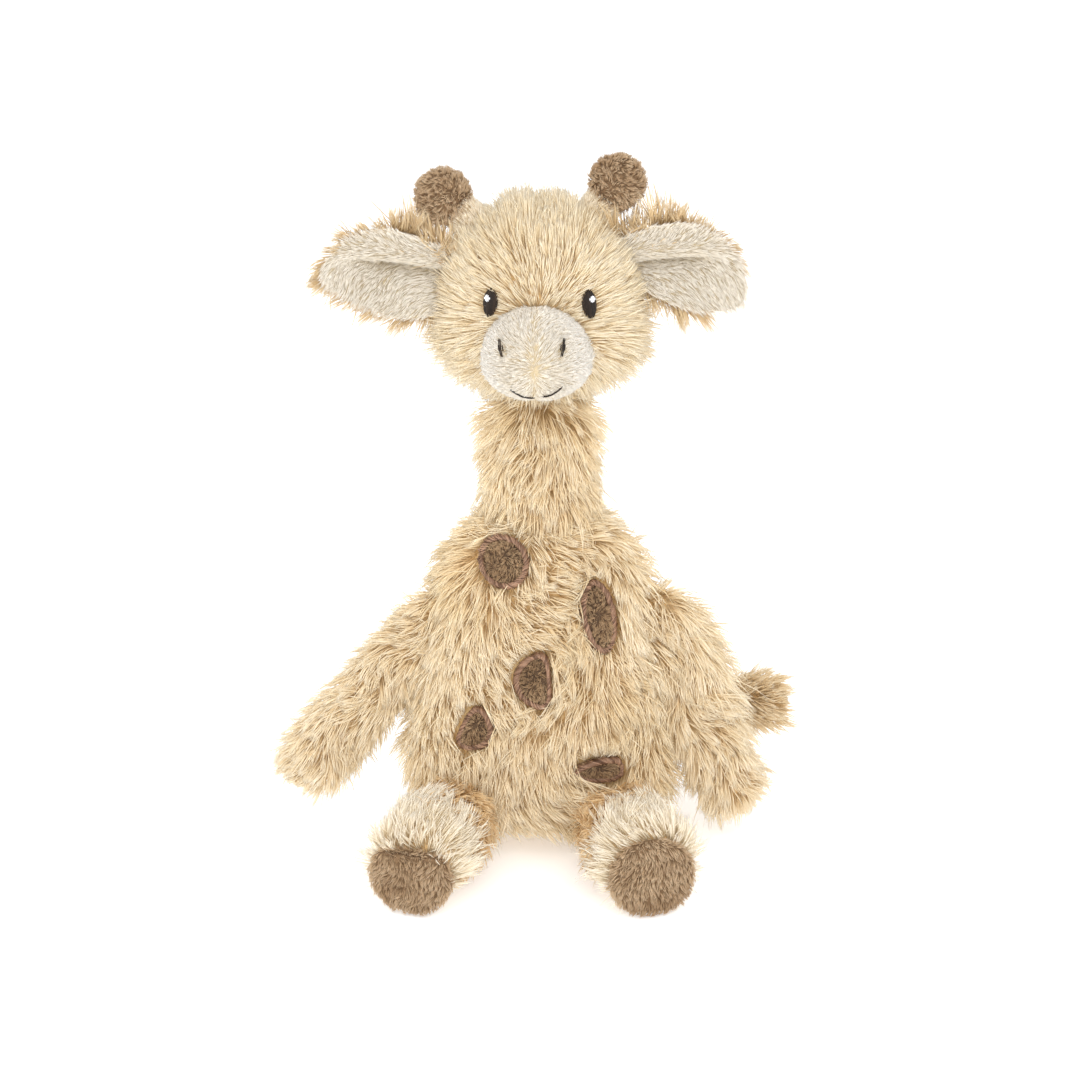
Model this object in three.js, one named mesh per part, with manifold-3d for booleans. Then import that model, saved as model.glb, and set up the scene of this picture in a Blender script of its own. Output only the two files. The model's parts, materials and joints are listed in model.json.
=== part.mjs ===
// A sitting plush giraffe: sewn covers over fibre fillings, joined at their seams.
// Millimetres, +Z up, the toy faces -Y and its own left side is +X.
// Every cover is modelled to the mean surface of its pile, so a wall is backing plus laid pile.
import * as THREE from 'three';
import { mergeVertices } from 'three/addons/utils/BufferGeometryUtils.js';
import Module from 'manifold-3d';

const wasm = await Module();
wasm.setup();

// Walls and clearances
const pileWall = 5;
const shortWall = 2.6;
const seatGap = 0.3;
const seamGap = 0.5;
const overrun = 20;
const sweepStepDegrees = 13;
const roomSides = 8;
const ballSides = 10;

// Torso, neck and head
const torso = { length: 122, halfWidth: 48.3, halfDepth: 37.5, sides: 20, coreSides: 10 };
const neck = { ball: 15.5, length: 52, radius: 21, topBall: 18.5, sides: 14, coreSides: 8 };
const neckSunk = 6;
const neckSeat = torso.length - neckSunk;
const head = { length: 73, halfWidth: 35.2, halfDepth: 33.5, sides: 20, coreSides: 10 };
const headSunk = 12;
const headBottom = neckSeat + neck.length - headSunk;
const headTop = headBottom + head.length;
const muzzle = { length: 34.4, halfWidth: 19.6, halfDepth: 19.5, sides: 16, coreSides: 8 };
const muzzlePlace = { across: -1.2, sunk: 4, rise: 8 };
const muzzleSeat = [muzzlePlace.across, muzzlePlace.sunk - head.halfDepth, headBottom + muzzlePlace.rise];

// Arms, legs and tail
const arm = { ball: 11, length: 88, halfWidth: 13.4, halfDepth: 13, sides: 12, coreSides: 6 };
const leg = { ball: 15, length: 50.5, halfWidth: 19.8, halfDepth: 18, sides: 14, coreSides: 8 };
const tail = { ball: 6.5, length: 80, halfWidth: 9.8, halfDepth: 9.8, sides: 10, coreSides: 6 };
const sole = { length: 6.2, proud: 1.2, halfWidth: 14.4, halfDepth: 13.4, sides: 16 };
const soleRise = 0.6;

// Ears and horns
const ear = { length: 43, halfHeight: 17.4, lining: 2.6, back: 4.6, cup: 6, rim: 1.2, fringe: 4 };
const earRoot = { radius: 3.8, reach: 9, thin: 3.4, deep: 6.6, sides: 10 };
const horn = { radius: 6.9, knobRadius: 9.7, sides: 10, knobSides: 12, coreSides: 8 };

// Embroidery and sewn-on patches
const patch = { pocket: 2.2, thick: 1.2, borderWidth: 1.9, borderThick: 1.5 };
const eye = { pocket: 1.6, thick: 0.8, halfWidth: 2.6, halfHeight: 4.9, tilt: 10 };
const glint = { radius: 1.1, thick: 0.5, rise: 1.4, shift: 0.3 };
const nostril = { halfWidth: 0.8, halfHeight: 2.5, thick: 0.7, tilt: 14 };
const mouth = { width: 1.1, thick: 0.7, sag: 1.6 };

// Height, width, depth and backward shift of each section, as shares of a form's own sizes
const torsoShares = [
  [0, 0.60, 0.52, 0.14], [0.033, 0.76, 0.70, 0.09], [0.082, 0.89, 0.86, 0.04], [0.156, 0.97, 0.96, 0.01],
  [0.27, 1, 1, 0], [0.393, 0.975, 1, -0.01], [0.508, 0.91, 0.965, -0.01], [0.623, 0.845, 0.90, 0],
  [0.738, 0.775, 0.825, 0.01], [0.844, 0.70, 0.745, 0.01], [0.918, 0.60, 0.645, 0.01], [0.967, 0.50, 0.57, 0.01],
  [1, 0.40, 0.48, 0.01],
];
const neckShares = [[0.13, 1.01, 1.01, 0], [0.36, 0.975, 0.975, 0], [0.62, 0.94, 0.94, 0]];
const headShares = [
  [0.025, 0.34, 0.34, 0], [0.09, 0.62, 0.62, 0], [0.19, 0.84, 0.83, 0], [0.32, 0.97, 0.96, 0], [0.46, 1, 1, 0],
  [0.60, 0.985, 0.985, 0], [0.73, 0.90, 0.90, 0], [0.85, 0.735, 0.735, 0], [0.94, 0.49, 0.49, 0],
  [0.985, 0.25, 0.25, 0],
];
const muzzleShares = [
  [0.03, 0.40, 0.42, 0.06], [0.12, 0.72, 0.76, 0.02], [0.25, 0.93, 0.95, 0], [0.40, 1, 1, 0], [0.55, 0.98, 1, 0],
  [0.70, 0.89, 0.92, 0.02], [0.83, 0.73, 0.76, 0.06], [0.93, 0.50, 0.52, 0.10], [0.985, 0.26, 0.28, 0.12],
];
const armShares = [
  [0.14, 0.82, 0.84, 0], [0.36, 0.93, 0.93, 0], [0.6, 0.98, 0.98, 0], [0.78, 1, 1, 0], [0.89, 0.90, 0.90, 0],
  [0.96, 0.66, 0.66, 0], [0.99, 0.36, 0.36, 0],
];
const legShares = [
  [0.22, 0.84, 0.88, 0], [0.45, 0.93, 0.96, 0], [0.68, 1, 1, 0], [0.84, 0.985, 0.985, -0.01],
  [0.94, 0.93, 0.93, -0.04], [1, 0.84, 0.86, -0.1],
];
const tailShares = [
  [0.2, 0.68, 0.68, 0.34], [0.4, 0.72, 0.72, 0.52], [0.6, 0.83, 0.83, 0.50], [0.76, 0.97, 0.97, 0.34],
  [0.89, 1, 1, 0.14], [0.97, 0.80, 0.80, 0.03], [0.995, 0.42, 0.42, 0],
];
const soleShares = [[0, 1, 1, 0], [0.55, 1, 1, 0], [0.85, 0.93, 0.93, 0], [1, 0.72, 0.72, 0]];
const knobShares = [
  [0.04, 0.42, 0.42, 0], [0.15, 0.74, 0.74, 0], [0.32, 0.95, 0.95, 0], [0.5, 1, 1, 0], [0.68, 0.95, 0.95, 0],
  [0.85, 0.74, 0.74, 0], [0.96, 0.42, 0.42, 0],
];
const hornShares = [[0, 1.05, 1.05, 0], [1, 1, 1, 0]];
// Half height of the ear along its length, as shares
const earShares = [
  [0, 0.56], [0.10, 0.66], [0.24, 0.81], [0.42, 0.95], [0.60, 1], [0.76, 0.94], [0.88, 0.76], [0.96, 0.49], [1, 0.16],
];
const earSpanShares = [-1, -0.7, -0.35, 0, 0.35, 0.7, 1];
const earCupShare = 0.85;
const earRootShare = 0.3;
const mouthDepthShare = 0.45;
const strokeShares = [0, 0.25, 0.5, 0.75, 1];

// Colours, sRGB
const colours = {
  beige: 0xd9c29d, cream: 0xe6dac4, lining: 0xe0d5c1, brown: 0x97836b, spot: 0x856c50, stitch: 0x8a6a4d,
  dark: 0x3a2c20, white: 0xf2f2f5, fibre: 0xf4f2ec,
};

// Seams: in from the carrier's side, back from the middle plane or in from the front, down from its top
const sideNames = ['left', 'right'];
const arms = {
  left: { side: 1, inset: 13.3, back: -2, drop: 37.5, towards: [36.5, -6, -74.5], reach: 58 },
  right: { side: -1, inset: 16.3, back: -2, drop: 38, towards: [-55.5, -6, -64.5], reach: 46 },
};
const legs = {
  left: { side: 1, inset: 23.8, towards: [12.6, -47, 0] },
  right: { side: -1, inset: 21.3, towards: [-16.2, -47, 0] },
};
const legSeam = { sunk: 9.5, squashed: 0.5, lift: 8, drop: 20 };
const ears = {
  left: { side: 1, inset: 5.2, back: -3, drop: 27.5, towards: [40, -4, -1] },
  right: { side: -1, inset: 4.7, back: -3, drop: 30, towards: [-40, -4, 4] },
};
const earFold = 20;
const horns = {
  left: { across: 15.6, back: 2, drop: 12.5, stalk: [10, 0, 14.9] },
  right: { across: -18.8, back: 2, drop: 14.8, stalk: [-13.5, 0, 12.5] },
};
const tailSeam = { across: 12, sunk: 1, rise: 25, towards: [75, -9, 13], swing: 60 };
const neckLean = 14;

// Places on the face, across from the muzzle's middle plane and up from its bottom
const eyes = { left: [17.8, 34], right: [-15.1, 34.3] };
const nostrils = { left: [8, 22], right: [-10.8, 21.4] };
const mouthMiddle = [-1.1, 4.3];
const mouthEnds = { left: [6.1, 8.5], right: [-8.6, 7.2] };
const mouthSplit = 0.6;

// Spots: across the front, down from the top of the torso or up from its seat, half sizes and turn
const spots = {
  chest: { across: -13.1, drop: 12, halfWidth: 7.4, halfHeight: 7.9, turn: 0, bendShare: 0 },
  side: { across: 20.8, drop: 31.2, halfWidth: 5.2, halfHeight: 11.6, turn: 12, bendShare: 0 },
  middle: { across: -1.7, rise: 69, halfWidth: 5.6, halfHeight: 8.4, turn: 4, bendShare: 0.22 },
  flank: { across: -23.7, rise: 51.3, halfWidth: 5.3, halfHeight: 7.3, turn: -26, bendShare: -0.2 },
  lap: { across: 21.4, rise: 36.3, halfWidth: 6.7, halfHeight: 3.6, turn: -4, bendShare: 0.2 },
};

// The seams' places, worked out from what carries them; a leg is squashed a little where it lies
const upright = [0, 0, 1];
const legHeight = leg.halfDepth - legSeam.squashed;
for (const place of Object.values(arms)) {
  place.seam = [place.side * (torso.halfWidth - place.inset), place.back, torso.length - place.drop];
}
for (const place of Object.values(legs)) {
  place.seam = [place.side * (torso.halfWidth - place.inset), legSeam.sunk - torso.halfDepth, legHeight];
}
for (const place of Object.values(ears)) {
  place.seam = [place.side * (head.halfWidth - place.inset), place.back, headTop - place.drop];
}
const tailPlace = {
  seam: [tailSeam.across, torso.halfDepth - tailSeam.sunk, tailSeam.rise], towards: tailSeam.towards, up: [0, 1, 0],
};
const outlinePoints = 14;
const smallPoints = 8;

// One ring of a section, centred on the form's axis and shifted backwards
function sectionRing(height, halfWidth, halfDepth, shift, sides) {
  const ring = [];
  for (let i = 0; i < sides; i += 1) {
    const turn = (2 * Math.PI * i) / sides;
    ring.push(new THREE.Vector3(halfWidth * Math.cos(turn), shift + halfDepth * Math.sin(turn), height));
  }
  return ring;
}

// A closed skin over rings of equal count, with a middle point at each end
function skinRings(rings, startHeight, endHeight) {
  const sides = rings[0].length;
  const middle = (ring, height) => {
    const point = ring.reduce((sum, p) => sum.add(p), new THREE.Vector3()).divideScalar(sides);
    point.z = height;
    return point;
  };
  const points = [middle(rings[0], startHeight), ...rings.flat(), middle(rings.at(-1), endHeight)];
  const last = points.length - 1;
  const faces = [];
  for (let i = 0; i < sides; i += 1) {
    const next = (i + 1) % sides;
    faces.push(0, 1 + next, 1 + i);
    for (let r = 0; r < rings.length - 1; r += 1) {
      const low = 1 + r * sides;
      const high = low + sides;
      faces.push(low + i, low + next, high + next, low + i, high + next, high + i);
    }
    const top = 1 + (rings.length - 1) * sides;
    faces.push(top + i, top + next, last);
  }
  const geometry = new THREE.BufferGeometry();
  geometry.setAttribute('position', new THREE.Float32BufferAttribute(points.flatMap((p) => p.toArray()), 3));
  geometry.setIndex(faces);
  return geometry;
}

// A form along +Z from its table of shares, drawn in all round by an inset
function stack(form, shares, inset = 0, sides = form.sides) {
  const height = (share) => inset + share * (form.length - 2 * inset);
  const rings = shares.map(([h, w, d, shift]) => sectionRing(
    height(h), w * (form.halfWidth - inset), d * (form.halfDepth - inset), shift * form.halfDepth, sides));
  return skinRings(rings, height(0), height(1));
}

// A limb along +Z: a ball about its seam, then sections up to its tip
function limb(form, shares, inset = 0, sides = form.sides) {
  const radius = form.ball - inset;
  const steps = 4;
  const rings = [];
  for (let i = 1; i <= steps; i += 1) {
    const turn = (0.5 * Math.PI * i) / steps;
    rings.push(sectionRing(-radius * Math.cos(turn), radius * Math.sin(turn), radius * Math.sin(turn), 0, sides));
  }
  for (const [h, w, d, shift] of shares) {
    rings.push(sectionRing(h * (form.length - inset), w * (form.halfWidth - inset), d * (form.halfDepth - inset),
      shift * form.halfDepth, sides));
  }
  return skinRings(rings, -radius, form.length - inset);
}

const neckLimb = { ...neck, halfWidth: neck.radius, halfDepth: neck.radius };

// The neck: a ball in the torso, a tapering tube, and a round top inside the head
function neckForm(inset = 0, sides = neck.sides) {
  const top = neck.topBall - inset;
  const steps = 3;
  const rings = neckShares.map((row) => row);
  for (let i = 1; i <= steps; i += 1) {
    const turn = (0.5 * Math.PI * i) / (steps + 1);
    const height = neck.length - neck.topBall + top * Math.sin(turn);
    const width = (top * Math.cos(turn)) / (neck.radius - inset);
    rings.push([height / (neck.length - inset), width, width, 0]);
  }
  return limb(neckLimb, rings, inset, sides);
}

// Moves a form that lies along +Z to its seam, pointing the way given
function setAt(geometry, { seam, towards, up = upright }) {
  const zAxis = new THREE.Vector3(...towards).normalize();
  const xAxis = new THREE.Vector3().crossVectors(new THREE.Vector3(...up), zAxis);
  if (xAxis.lengthSq() === 0) xAxis.set(1, 0, 0);
  xAxis.normalize();
  const yAxis = new THREE.Vector3().crossVectors(zAxis, xAxis);
  const matrix = new THREE.Matrix4().makeBasis(xAxis, yAxis, zAxis).setPosition(...seam);
  return geometry.applyMatrix4(matrix);
}

// The volume inside a closed mesh, below zero where its faces point in
function signedVolume(position, index) {
  const corners = [new THREE.Vector3(), new THREE.Vector3(), new THREE.Vector3()];
  let volume = 0;
  for (let i = 0; i < index.count; i += 3) {
    corners.forEach((corner, k) => corner.fromBufferAttribute(position, index.getX(i + k)));
    volume += corners[0].dot(corners[1].clone().cross(corners[2])) / 6;
  }
  return volume;
}

// A solid for cutting and joining, from any closed geometry
function solid(geometry) {
  const bare = geometry.clone();
  bare.deleteAttribute('normal');
  bare.deleteAttribute('uv');
  const merged = mergeVertices(bare);
  const position = merged.getAttribute('position');
  const index = merged.getIndex();
  const triVerts = Uint32Array.from(index.array);
  if (signedVolume(position, index) < 0) triVerts.reverse();
  return new wasm.Manifold(new wasm.Mesh({
    numProp: 3, vertProperties: Float32Array.from(position.array), triVerts,
  }));
}

// A solid turned about an axis through a seam
function turned(shape, seam, axis, degrees) {
  const there = new THREE.Matrix4().makeTranslation(...seam);
  const back = new THREE.Matrix4().makeTranslation(-seam[0], -seam[1], -seam[2]);
  const turn = new THREE.Matrix4().makeRotationAxis(
    new THREE.Vector3(...axis).normalize(), THREE.MathUtils.degToRad(degrees));
  return shape.transform([...there.multiply(turn).multiply(back).elements]);
}

// The room that a limb takes as its seam turns from one limit to the other: its ball, and its tube at each step
function limbRoom(form, shares, place, axis, lowest, highest) {
  const ease = 1 / Math.cos(Math.PI / roomSides);
  const grow = (size) => (size + seamGap) * ease;
  const ballEase = 1 / Math.cos(Math.PI / ballSides) ** 2;
  const ball = new THREE.SphereGeometry((form.ball + seamGap) * ballEase, ballSides, ballSides / 2);
  const rings = shares.map(([h, w, d, shift]) => sectionRing(
    h * form.length, w * grow(form.halfWidth), d * grow(form.halfDepth), shift * form.halfDepth, roomSides));
  rings.unshift(sectionRing(0, grow(form.ball), grow(form.ball), 0, roomSides));
  const tube = solid(setAt(skinRings(rings, 0, grow(form.length)), place));
  const steps = Math.max(1, Math.ceil((highest - lowest) / sweepStepDegrees));
  let room = solid(setAt(ball, place));
  for (let i = 0; i <= steps; i += 1) {
    room = room.add(turned(tube, place.seam, axis, lowest + ((highest - lowest) * i) / steps));
  }
  return room;
}

// A prism through the front of the toy, standing on an outline drawn across X and Z
function frontPrism(outline, nearest, deepest) {
  const shape = new THREE.Shape(outline.map(([x, z]) => new THREE.Vector2(x, z)));
  const prism = new THREE.ExtrudeGeometry(shape, { depth: deepest - nearest, bevelEnabled: false });
  return solid(prism.rotateX(Math.PI / 2).translate(0, deepest, 0));
}

// An oval outline, turned, with its middle pushed sideways by a share of its width
function oval([x, z], halfWidth, halfHeight, turn, bendShare = 0, count = outlinePoints) {
  const outline = [];
  const lean = THREE.MathUtils.degToRad(turn);
  for (let i = 0; i < count; i += 1) {
    const angle = (2 * Math.PI * i) / count;
    const across = halfWidth * (Math.cos(angle) - bendShare * Math.cos(2 * angle));
    const along = halfHeight * Math.sin(angle);
    outline.push([
      x + across * Math.cos(lean) - along * Math.sin(lean), z + across * Math.sin(lean) + along * Math.cos(lean),
    ]);
  }
  return outline;
}

const torsoSolid = (inset, sides) => solid(stack(torso, torsoShares, inset, sides));
const headSolid = (inset, sides) => solid(stack(head, headShares, inset, sides).translate(0, 0, headBottom));
const muzzleSolid = (inset, sides) => solid(stack(muzzle, muzzleShares, inset, sides).translate(...muzzleSeat));
const neckPivot = [0, 0, neckSeat];
const neckSolid = (inset, sides) => solid(neckForm(inset, sides).translate(...neckPivot));
const limbSolid = (form, shares, place, inset, sides) => solid(setAt(limb(form, shares, inset, sides), place));

const frontEnd = muzzleSeat[1] - muzzle.halfDepth - overrun;
const floorBlock = solid(new THREE.BoxGeometry(
  torso.length + overrun, 2 * torso.length, overrun).translate(0, 0, -overrun / 2));

const model = new THREE.Group();

function addPiece(name, shape, colour, roughness = 1) {
  const mesh = shape.getMesh();
  const geometry = new THREE.BufferGeometry();
  geometry.setAttribute('position', new THREE.Float32BufferAttribute(mesh.vertProperties, 3));
  geometry.setIndex(Array.from(mesh.triVerts));
  const piece = new THREE.Mesh(geometry, new THREE.MeshStandardMaterial({ color: colour, roughness, metalness: 0 }));
  piece.name = name;
  model.add(piece);
}

// The side of a limb's ball that lies deep in its socket is left open for the filling
function mouthBlock(form, place, depthShare) {
  const size = 2 * form.ball;
  const block = new THREE.BoxGeometry(size, size, size).translate(0, 0, -size / 2 - depthShare * form.ball);
  return solid(setAt(block, place));
}

// A sewn-on or embroidered piece lies in a pocket of its cover
function layer(form, outline, floorInset, thick, deepest = 0) {
  return frontPrism(outline, frontEnd, deepest).intersect(form(floorInset - thick)).subtract(form(floorInset));
}

// Rooms that moving pieces need, each with the clearance of its seam
const rooms = {};
rooms.neck = limbRoom(neckLimb, neckShares, { seam: neckPivot, towards: upright }, [1, 0, 0], -neckLean, neckLean);
for (const side of sideNames) {
  rooms[`arm_${side}`] = limbRoom(arm, armShares, arms[side], [0, -arms[side].side, 0], 0, arms[side].reach);
  rooms[`leg_${side}`] = limbRoom(leg, legShares, legs[side], [-1, 0, 0], -legSeam.drop, legSeam.lift);
}
rooms.tail = limbRoom(tail, tailShares, tailPlace, upright, 0, tailSeam.swing);

// Torso with its spots
let torsoCover = torsoSolid(0).subtract(torsoSolid(pileWall, torso.coreSides));
let torsoFilling = torsoSolid(pileWall + seatGap, torso.coreSides);
for (const room of Object.values(rooms)) {
  torsoCover = torsoCover.subtract(room);
  torsoFilling = torsoFilling.subtract(room);
}
for (const [name, spot] of Object.entries(spots)) {
  const { across, drop, rise = torso.length - drop, halfWidth, halfHeight, turn, bendShare } = spot;
  const grown = (more) => oval([across, rise], halfWidth + more, halfHeight + more, turn, bendShare);
  const pocket = frontPrism(grown(seatGap), frontEnd, 0).subtract(torsoSolid(patch.pocket));
  const floorInset = patch.pocket - seatGap;
  torsoCover = torsoCover.subtract(pocket);
  const border = layer(torsoSolid, grown(0), floorInset, patch.borderThick)
    .subtract(frontPrism(grown(-patch.borderWidth), frontEnd, 0)).subtract(rooms.neck).subtract(rooms.leg_left);
  addPiece(`spot_${name}`, layer(torsoSolid, grown(-patch.borderWidth - seatGap), floorInset, patch.thick),
    colours.spot);
  addPiece(`spot_${name}_border`, border, colours.stitch, 0.7);
}
addPiece('torso_cover', torsoCover, colours.beige);
addPiece('torso_filling', torsoFilling, colours.fibre);

// Neck
addPiece('neck_cover', neckSolid(0).subtract(neckSolid(pileWall, neck.coreSides))
  .subtract(solid(new THREE.BoxGeometry(torso.halfWidth, torso.halfWidth, neck.ball)
    .translate(0, 0, neckSeat - neck.ball))), colours.beige);
addPiece('neck_filling', neckSolid(pileWall + seatGap, neck.coreSides), colours.fibre);

// Head and muzzle
const headCore = headSolid(pileWall, head.coreSides);
const neckRoom = neckSolid(-seamGap);
let headCover = headSolid(0).subtract(headCore).subtract(neckRoom).subtract(muzzleSolid(-seatGap));
let headFilling = headSolid(pileWall + seatGap, head.coreSides).subtract(neckRoom);
addPiece('muzzle_cover', muzzleSolid(0).subtract(muzzleSolid(shortWall, muzzle.coreSides)).subtract(headCore),
  colours.lining);
addPiece('muzzle_filling', muzzleSolid(shortWall + seatGap, muzzle.coreSides).subtract(headCore), colours.fibre);

// Face
const onFace = ([across, rise]) => [muzzleSeat[0] + across, muzzleSeat[2] + rise];
for (const side of sideNames) {
  const lean = ears[side].side;
  const eyeAt = onFace(eyes[side]);
  const eyeOutline = (more) => oval(eyeAt,eye.halfWidth + more, eye.halfHeight + more, -lean * eye.tilt);
  const eyeFloor = eye.pocket - seatGap;
  headCover = headCover.subtract(frontPrism(eyeOutline(seatGap), frontEnd, 0).subtract(headSolid(eye.pocket)));
  addPiece(`eye_${side}`, layer(headSolid, eyeOutline(0), eyeFloor, eye.thick)
    .subtract(muzzleSolid(-seatGap)), colours.dark, 0.5);
  const glintAt = [eyeAt[0] + glint.shift, eyeAt[1] + glint.rise];
  addPiece(`eye_glint_${side}`, layer(headSolid, oval(glintAt, glint.radius, glint.radius, 0, 0, smallPoints),
    eyeFloor - eye.thick - seatGap, glint.thick), colours.white, 0.5);
  addPiece(`nostril_${side}`, layer(muzzleSolid,
    oval(onFace(nostrils[side]), nostril.halfWidth, nostril.halfHeight, lean * nostril.tilt, 0, smallPoints),
    -seatGap, nostril.thick, muzzleSeat[1]), colours.dark, 0.6);
  const [middleX, fromZ] = onFace(mouthMiddle);
  const fromX = middleX + lean * mouthSplit;
  const [toX, toZ] = onFace(mouthEnds[side]);
  const stroke = [];
  for (const edge of [-1, 1]) {
    const points = strokeShares.map((share) => [
      fromX + (toX - fromX) * share,
      fromZ + (toZ - fromZ) * share - mouth.sag * Math.sin(Math.PI * share) + (edge * mouth.width) / 2,
    ]);
    stroke.push(...(edge < 0 ? points : points.reverse()));
  }
  addPiece(`mouth_stitch_${side}`, layer(muzzleSolid, stroke, -seatGap, mouth.thick, muzzleSeat[1]),
    colours.dark, 0.6);
}

// Ears: two cupped leaves back to back, sewn to the side of the head
function earLeaf(place, sideways, facing, thick, grow) {
  const rows = earShares.map(([along, height]) => earSpanShares.map((span) => {
    const cupped = ear.cup * (1 - span * span) * Math.sin(Math.PI * along ** earCupShare);
    const swell = Math.sqrt(1 - span ** 4) * Math.sqrt(1 - along ** 6) * Math.min(1, along / earRootShare);
    return [along * (ear.length + grow), span * height * (ear.halfHeight + grow), cupped,
      facing * (ear.rim + (thick - ear.rim) * swell)];
  }));
  const start = (facing * seatGap) / 2;
  const inner = rows.map((row) => row.map(([x, z, cupped]) => new THREE.Vector3(
    sideways * (cupped + start), z, x)));
  const outer = rows.map((row) => row.map(([x, z, cupped, depth]) => new THREE.Vector3(
    sideways * (cupped + start + depth), z, x)));
  const across = earSpanShares.length;
  const count = rows.length * across;
  const points = [...inner.flat(), ...outer.flat()];
  const faces = [];
  const quad = (a, b, c, d) => faces.push(a, b, c, a, c, d);
  for (let i = 0; i < rows.length - 1; i += 1) {
    for (let j = 0; j < across - 1; j += 1) {
      const a = i * across + j;
      quad(a, a + 1, a + across + 1, a + across);
      quad(count + a, count + a + across, count + a + across + 1, count + a + 1);
    }
    const low = i * across;
    const high = low + across - 1;
    quad(low, low + across, count + low + across, count + low);
    quad(high, count + high, count + high + across, high + across);
  }
  const end = (rows.length - 1) * across;
  for (let j = 0; j < across - 1; j += 1) {
    quad(j, count + j, count + j + 1, j + 1);
    quad(end + j, end + j + 1, count + end + j + 1, count + end + j);
  }
  const geometry = new THREE.BufferGeometry();
  geometry.setAttribute('position', new THREE.Float32BufferAttribute(points.flatMap((p) => p.toArray()), 3));
  geometry.setIndex(faces);
  return solid(setAt(geometry, place));
}

// The folded root of an ear, along its vertical seam
function earRootSolid(place, grow) {
  const height = 2 * (ear.halfHeight + ear.fringe) * earShares[0][1] + 2 * grow;
  const roll = new THREE.CylinderGeometry(earRoot.radius + grow, earRoot.radius + grow, height, earRoot.sides);
  return solid(setAt(roll, place));
}

// The room that an ear's root and its first stretch take as it folds
function earRoom(place, sideways) {
  const height = 2 * (ear.halfHeight + ear.fringe) * earShares[2][1] + 2 * seamGap;
  const slab = solid(setAt(new THREE.BoxGeometry(earRoot.thin + earRoot.deep, height, earRoot.reach)
    .translate((sideways * (earRoot.deep - earRoot.thin)) / 2, 0, earRoot.reach / 2), place));
  const ease = 1 / Math.cos(Math.PI / earRoot.sides);
  let room = earRootSolid(place, (earRoot.radius + seamGap) * ease - earRoot.radius);
  const steps = Math.ceil((2 * earFold) / sweepStepDegrees);
  for (let i = 0; i <= steps; i += 1) {
    room = room.add(turned(slab, place.seam, upright, -earFold + (2 * earFold * i) / steps));
  }
  return room;
}

for (const side of sideNames) {
  const place = ears[side];
  const sideways = place.side;
  headCover = headCover.subtract(earRoom(place, sideways));
  headFilling = headFilling.subtract(earRoom(place, sideways));
  addPiece(`ear_back_${side}`, earLeaf(place, sideways, 1, ear.back, ear.fringe).add(earRootSolid(place, 0)),
    colours.beige);
  addPiece(`ear_lining_${side}`, earLeaf(place, sideways, -1, ear.lining, 0)
    .subtract(earRootSolid(place, seatGap)), colours.lining);
}

// Horns: a filled stalk that stands on the head, with a round knob over its end
for (const side of sideNames) {
  const { across, back, drop, stalk } = horns[side];
  const reach = new THREE.Vector3(...stalk);
  const place = { seam: [across, back, headTop - drop], towards: stalk };
  const tube = (radius, sides) => solid(setAt(stack({
    length: reach.length(), halfWidth: radius, halfDepth: radius, sides }, hornShares), place));
  const ball = (radius, sides) => solid(setAt(stack({
    length: 2 * radius, halfWidth: radius, halfDepth: radius, sides }, knobShares)
    .translate(0, 0, reach.length() - radius), place));
  const scalp = headSolid(-seatGap);
  const coreRadius = horn.radius - shortWall;
  const core = tube(coreRadius, horn.coreSides);
  addPiece(`horn_stalk_${side}`, tube(horn.radius, horn.sides).subtract(core)
    .subtract(ball(horn.knobRadius + seatGap, horn.knobSides)).subtract(scalp), colours.lining);
  addPiece(`horn_knob_${side}`, ball(horn.knobRadius, horn.knobSides)
    .subtract(ball(horn.knobRadius - shortWall, horn.coreSides)).subtract(core), colours.brown);
  addPiece(`horn_filling_${side}`, tube(coreRadius - seatGap, horn.coreSides)
    .add(ball(horn.knobRadius - shortWall - seatGap, horn.coreSides)).subtract(scalp), colours.fibre);
}
addPiece('head_cover', headCover, colours.beige);
addPiece('head_filling', headFilling, colours.fibre);

// Arms
for (const side of sideNames) {
  const place = arms[side];
  addPiece(`arm_cover_${side}`, limbSolid(arm, armShares, place)
    .subtract(limbSolid(arm, armShares, place, pileWall, arm.coreSides))
    .subtract(mouthBlock(arm, place, mouthDepthShare)), colours.beige);
  addPiece(`arm_filling_${side}`, limbSolid(arm, armShares, place, pileWall + seatGap, arm.coreSides), colours.fibre);
}

// Legs, each closed at the foot by its sole
for (const side of sideNames) {
  const place = legs[side];
  const soleForm = (grow) => solid(setAt(stack({
    ...sole, length: sole.length + grow, halfWidth: sole.halfWidth + grow, halfDepth: sole.halfDepth + grow }, soleShares)
    .translate(0, soleRise + sole.halfDepth - place.seam[2], leg.length + sole.proud - sole.length - grow), place));
  addPiece(`leg_cover_${side}`, limbSolid(leg, legShares, place)
    .subtract(limbSolid(leg, legShares, place, pileWall, leg.coreSides))
    .subtract(mouthBlock(leg, place, mouthDepthShare)).subtract(soleForm(seatGap)).subtract(floorBlock), colours.cream);
  addPiece(`leg_filling_${side}`, limbSolid(leg, legShares, place, pileWall + seatGap, leg.coreSides)
    .subtract(soleForm(seatGap)), colours.fibre);
  addPiece(`sole_${side}`, soleForm(0).subtract(floorBlock), colours.brown);
}

// Tail
addPiece('tail_cover', limbSolid(tail, tailShares, tailPlace)
  .subtract(limbSolid(tail, tailShares, tailPlace, shortWall, tail.coreSides))
  .subtract(mouthBlock(tail, tailPlace, mouthDepthShare)), colours.beige);
addPiece('tail_filling', limbSolid(tail, tailShares, tailPlace, shortWall + seatGap, tail.coreSides), colours.fibre);

export default model;
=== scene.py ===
"""A sitting plush giraffe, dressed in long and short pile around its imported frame.

Metres, +Z up. The toy faces -Y, and its own left side is +X.
"""
import json
import logging
import math
from collections.abc import Callable, Sequence
from dataclasses import dataclass, replace
from enum import Enum

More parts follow.
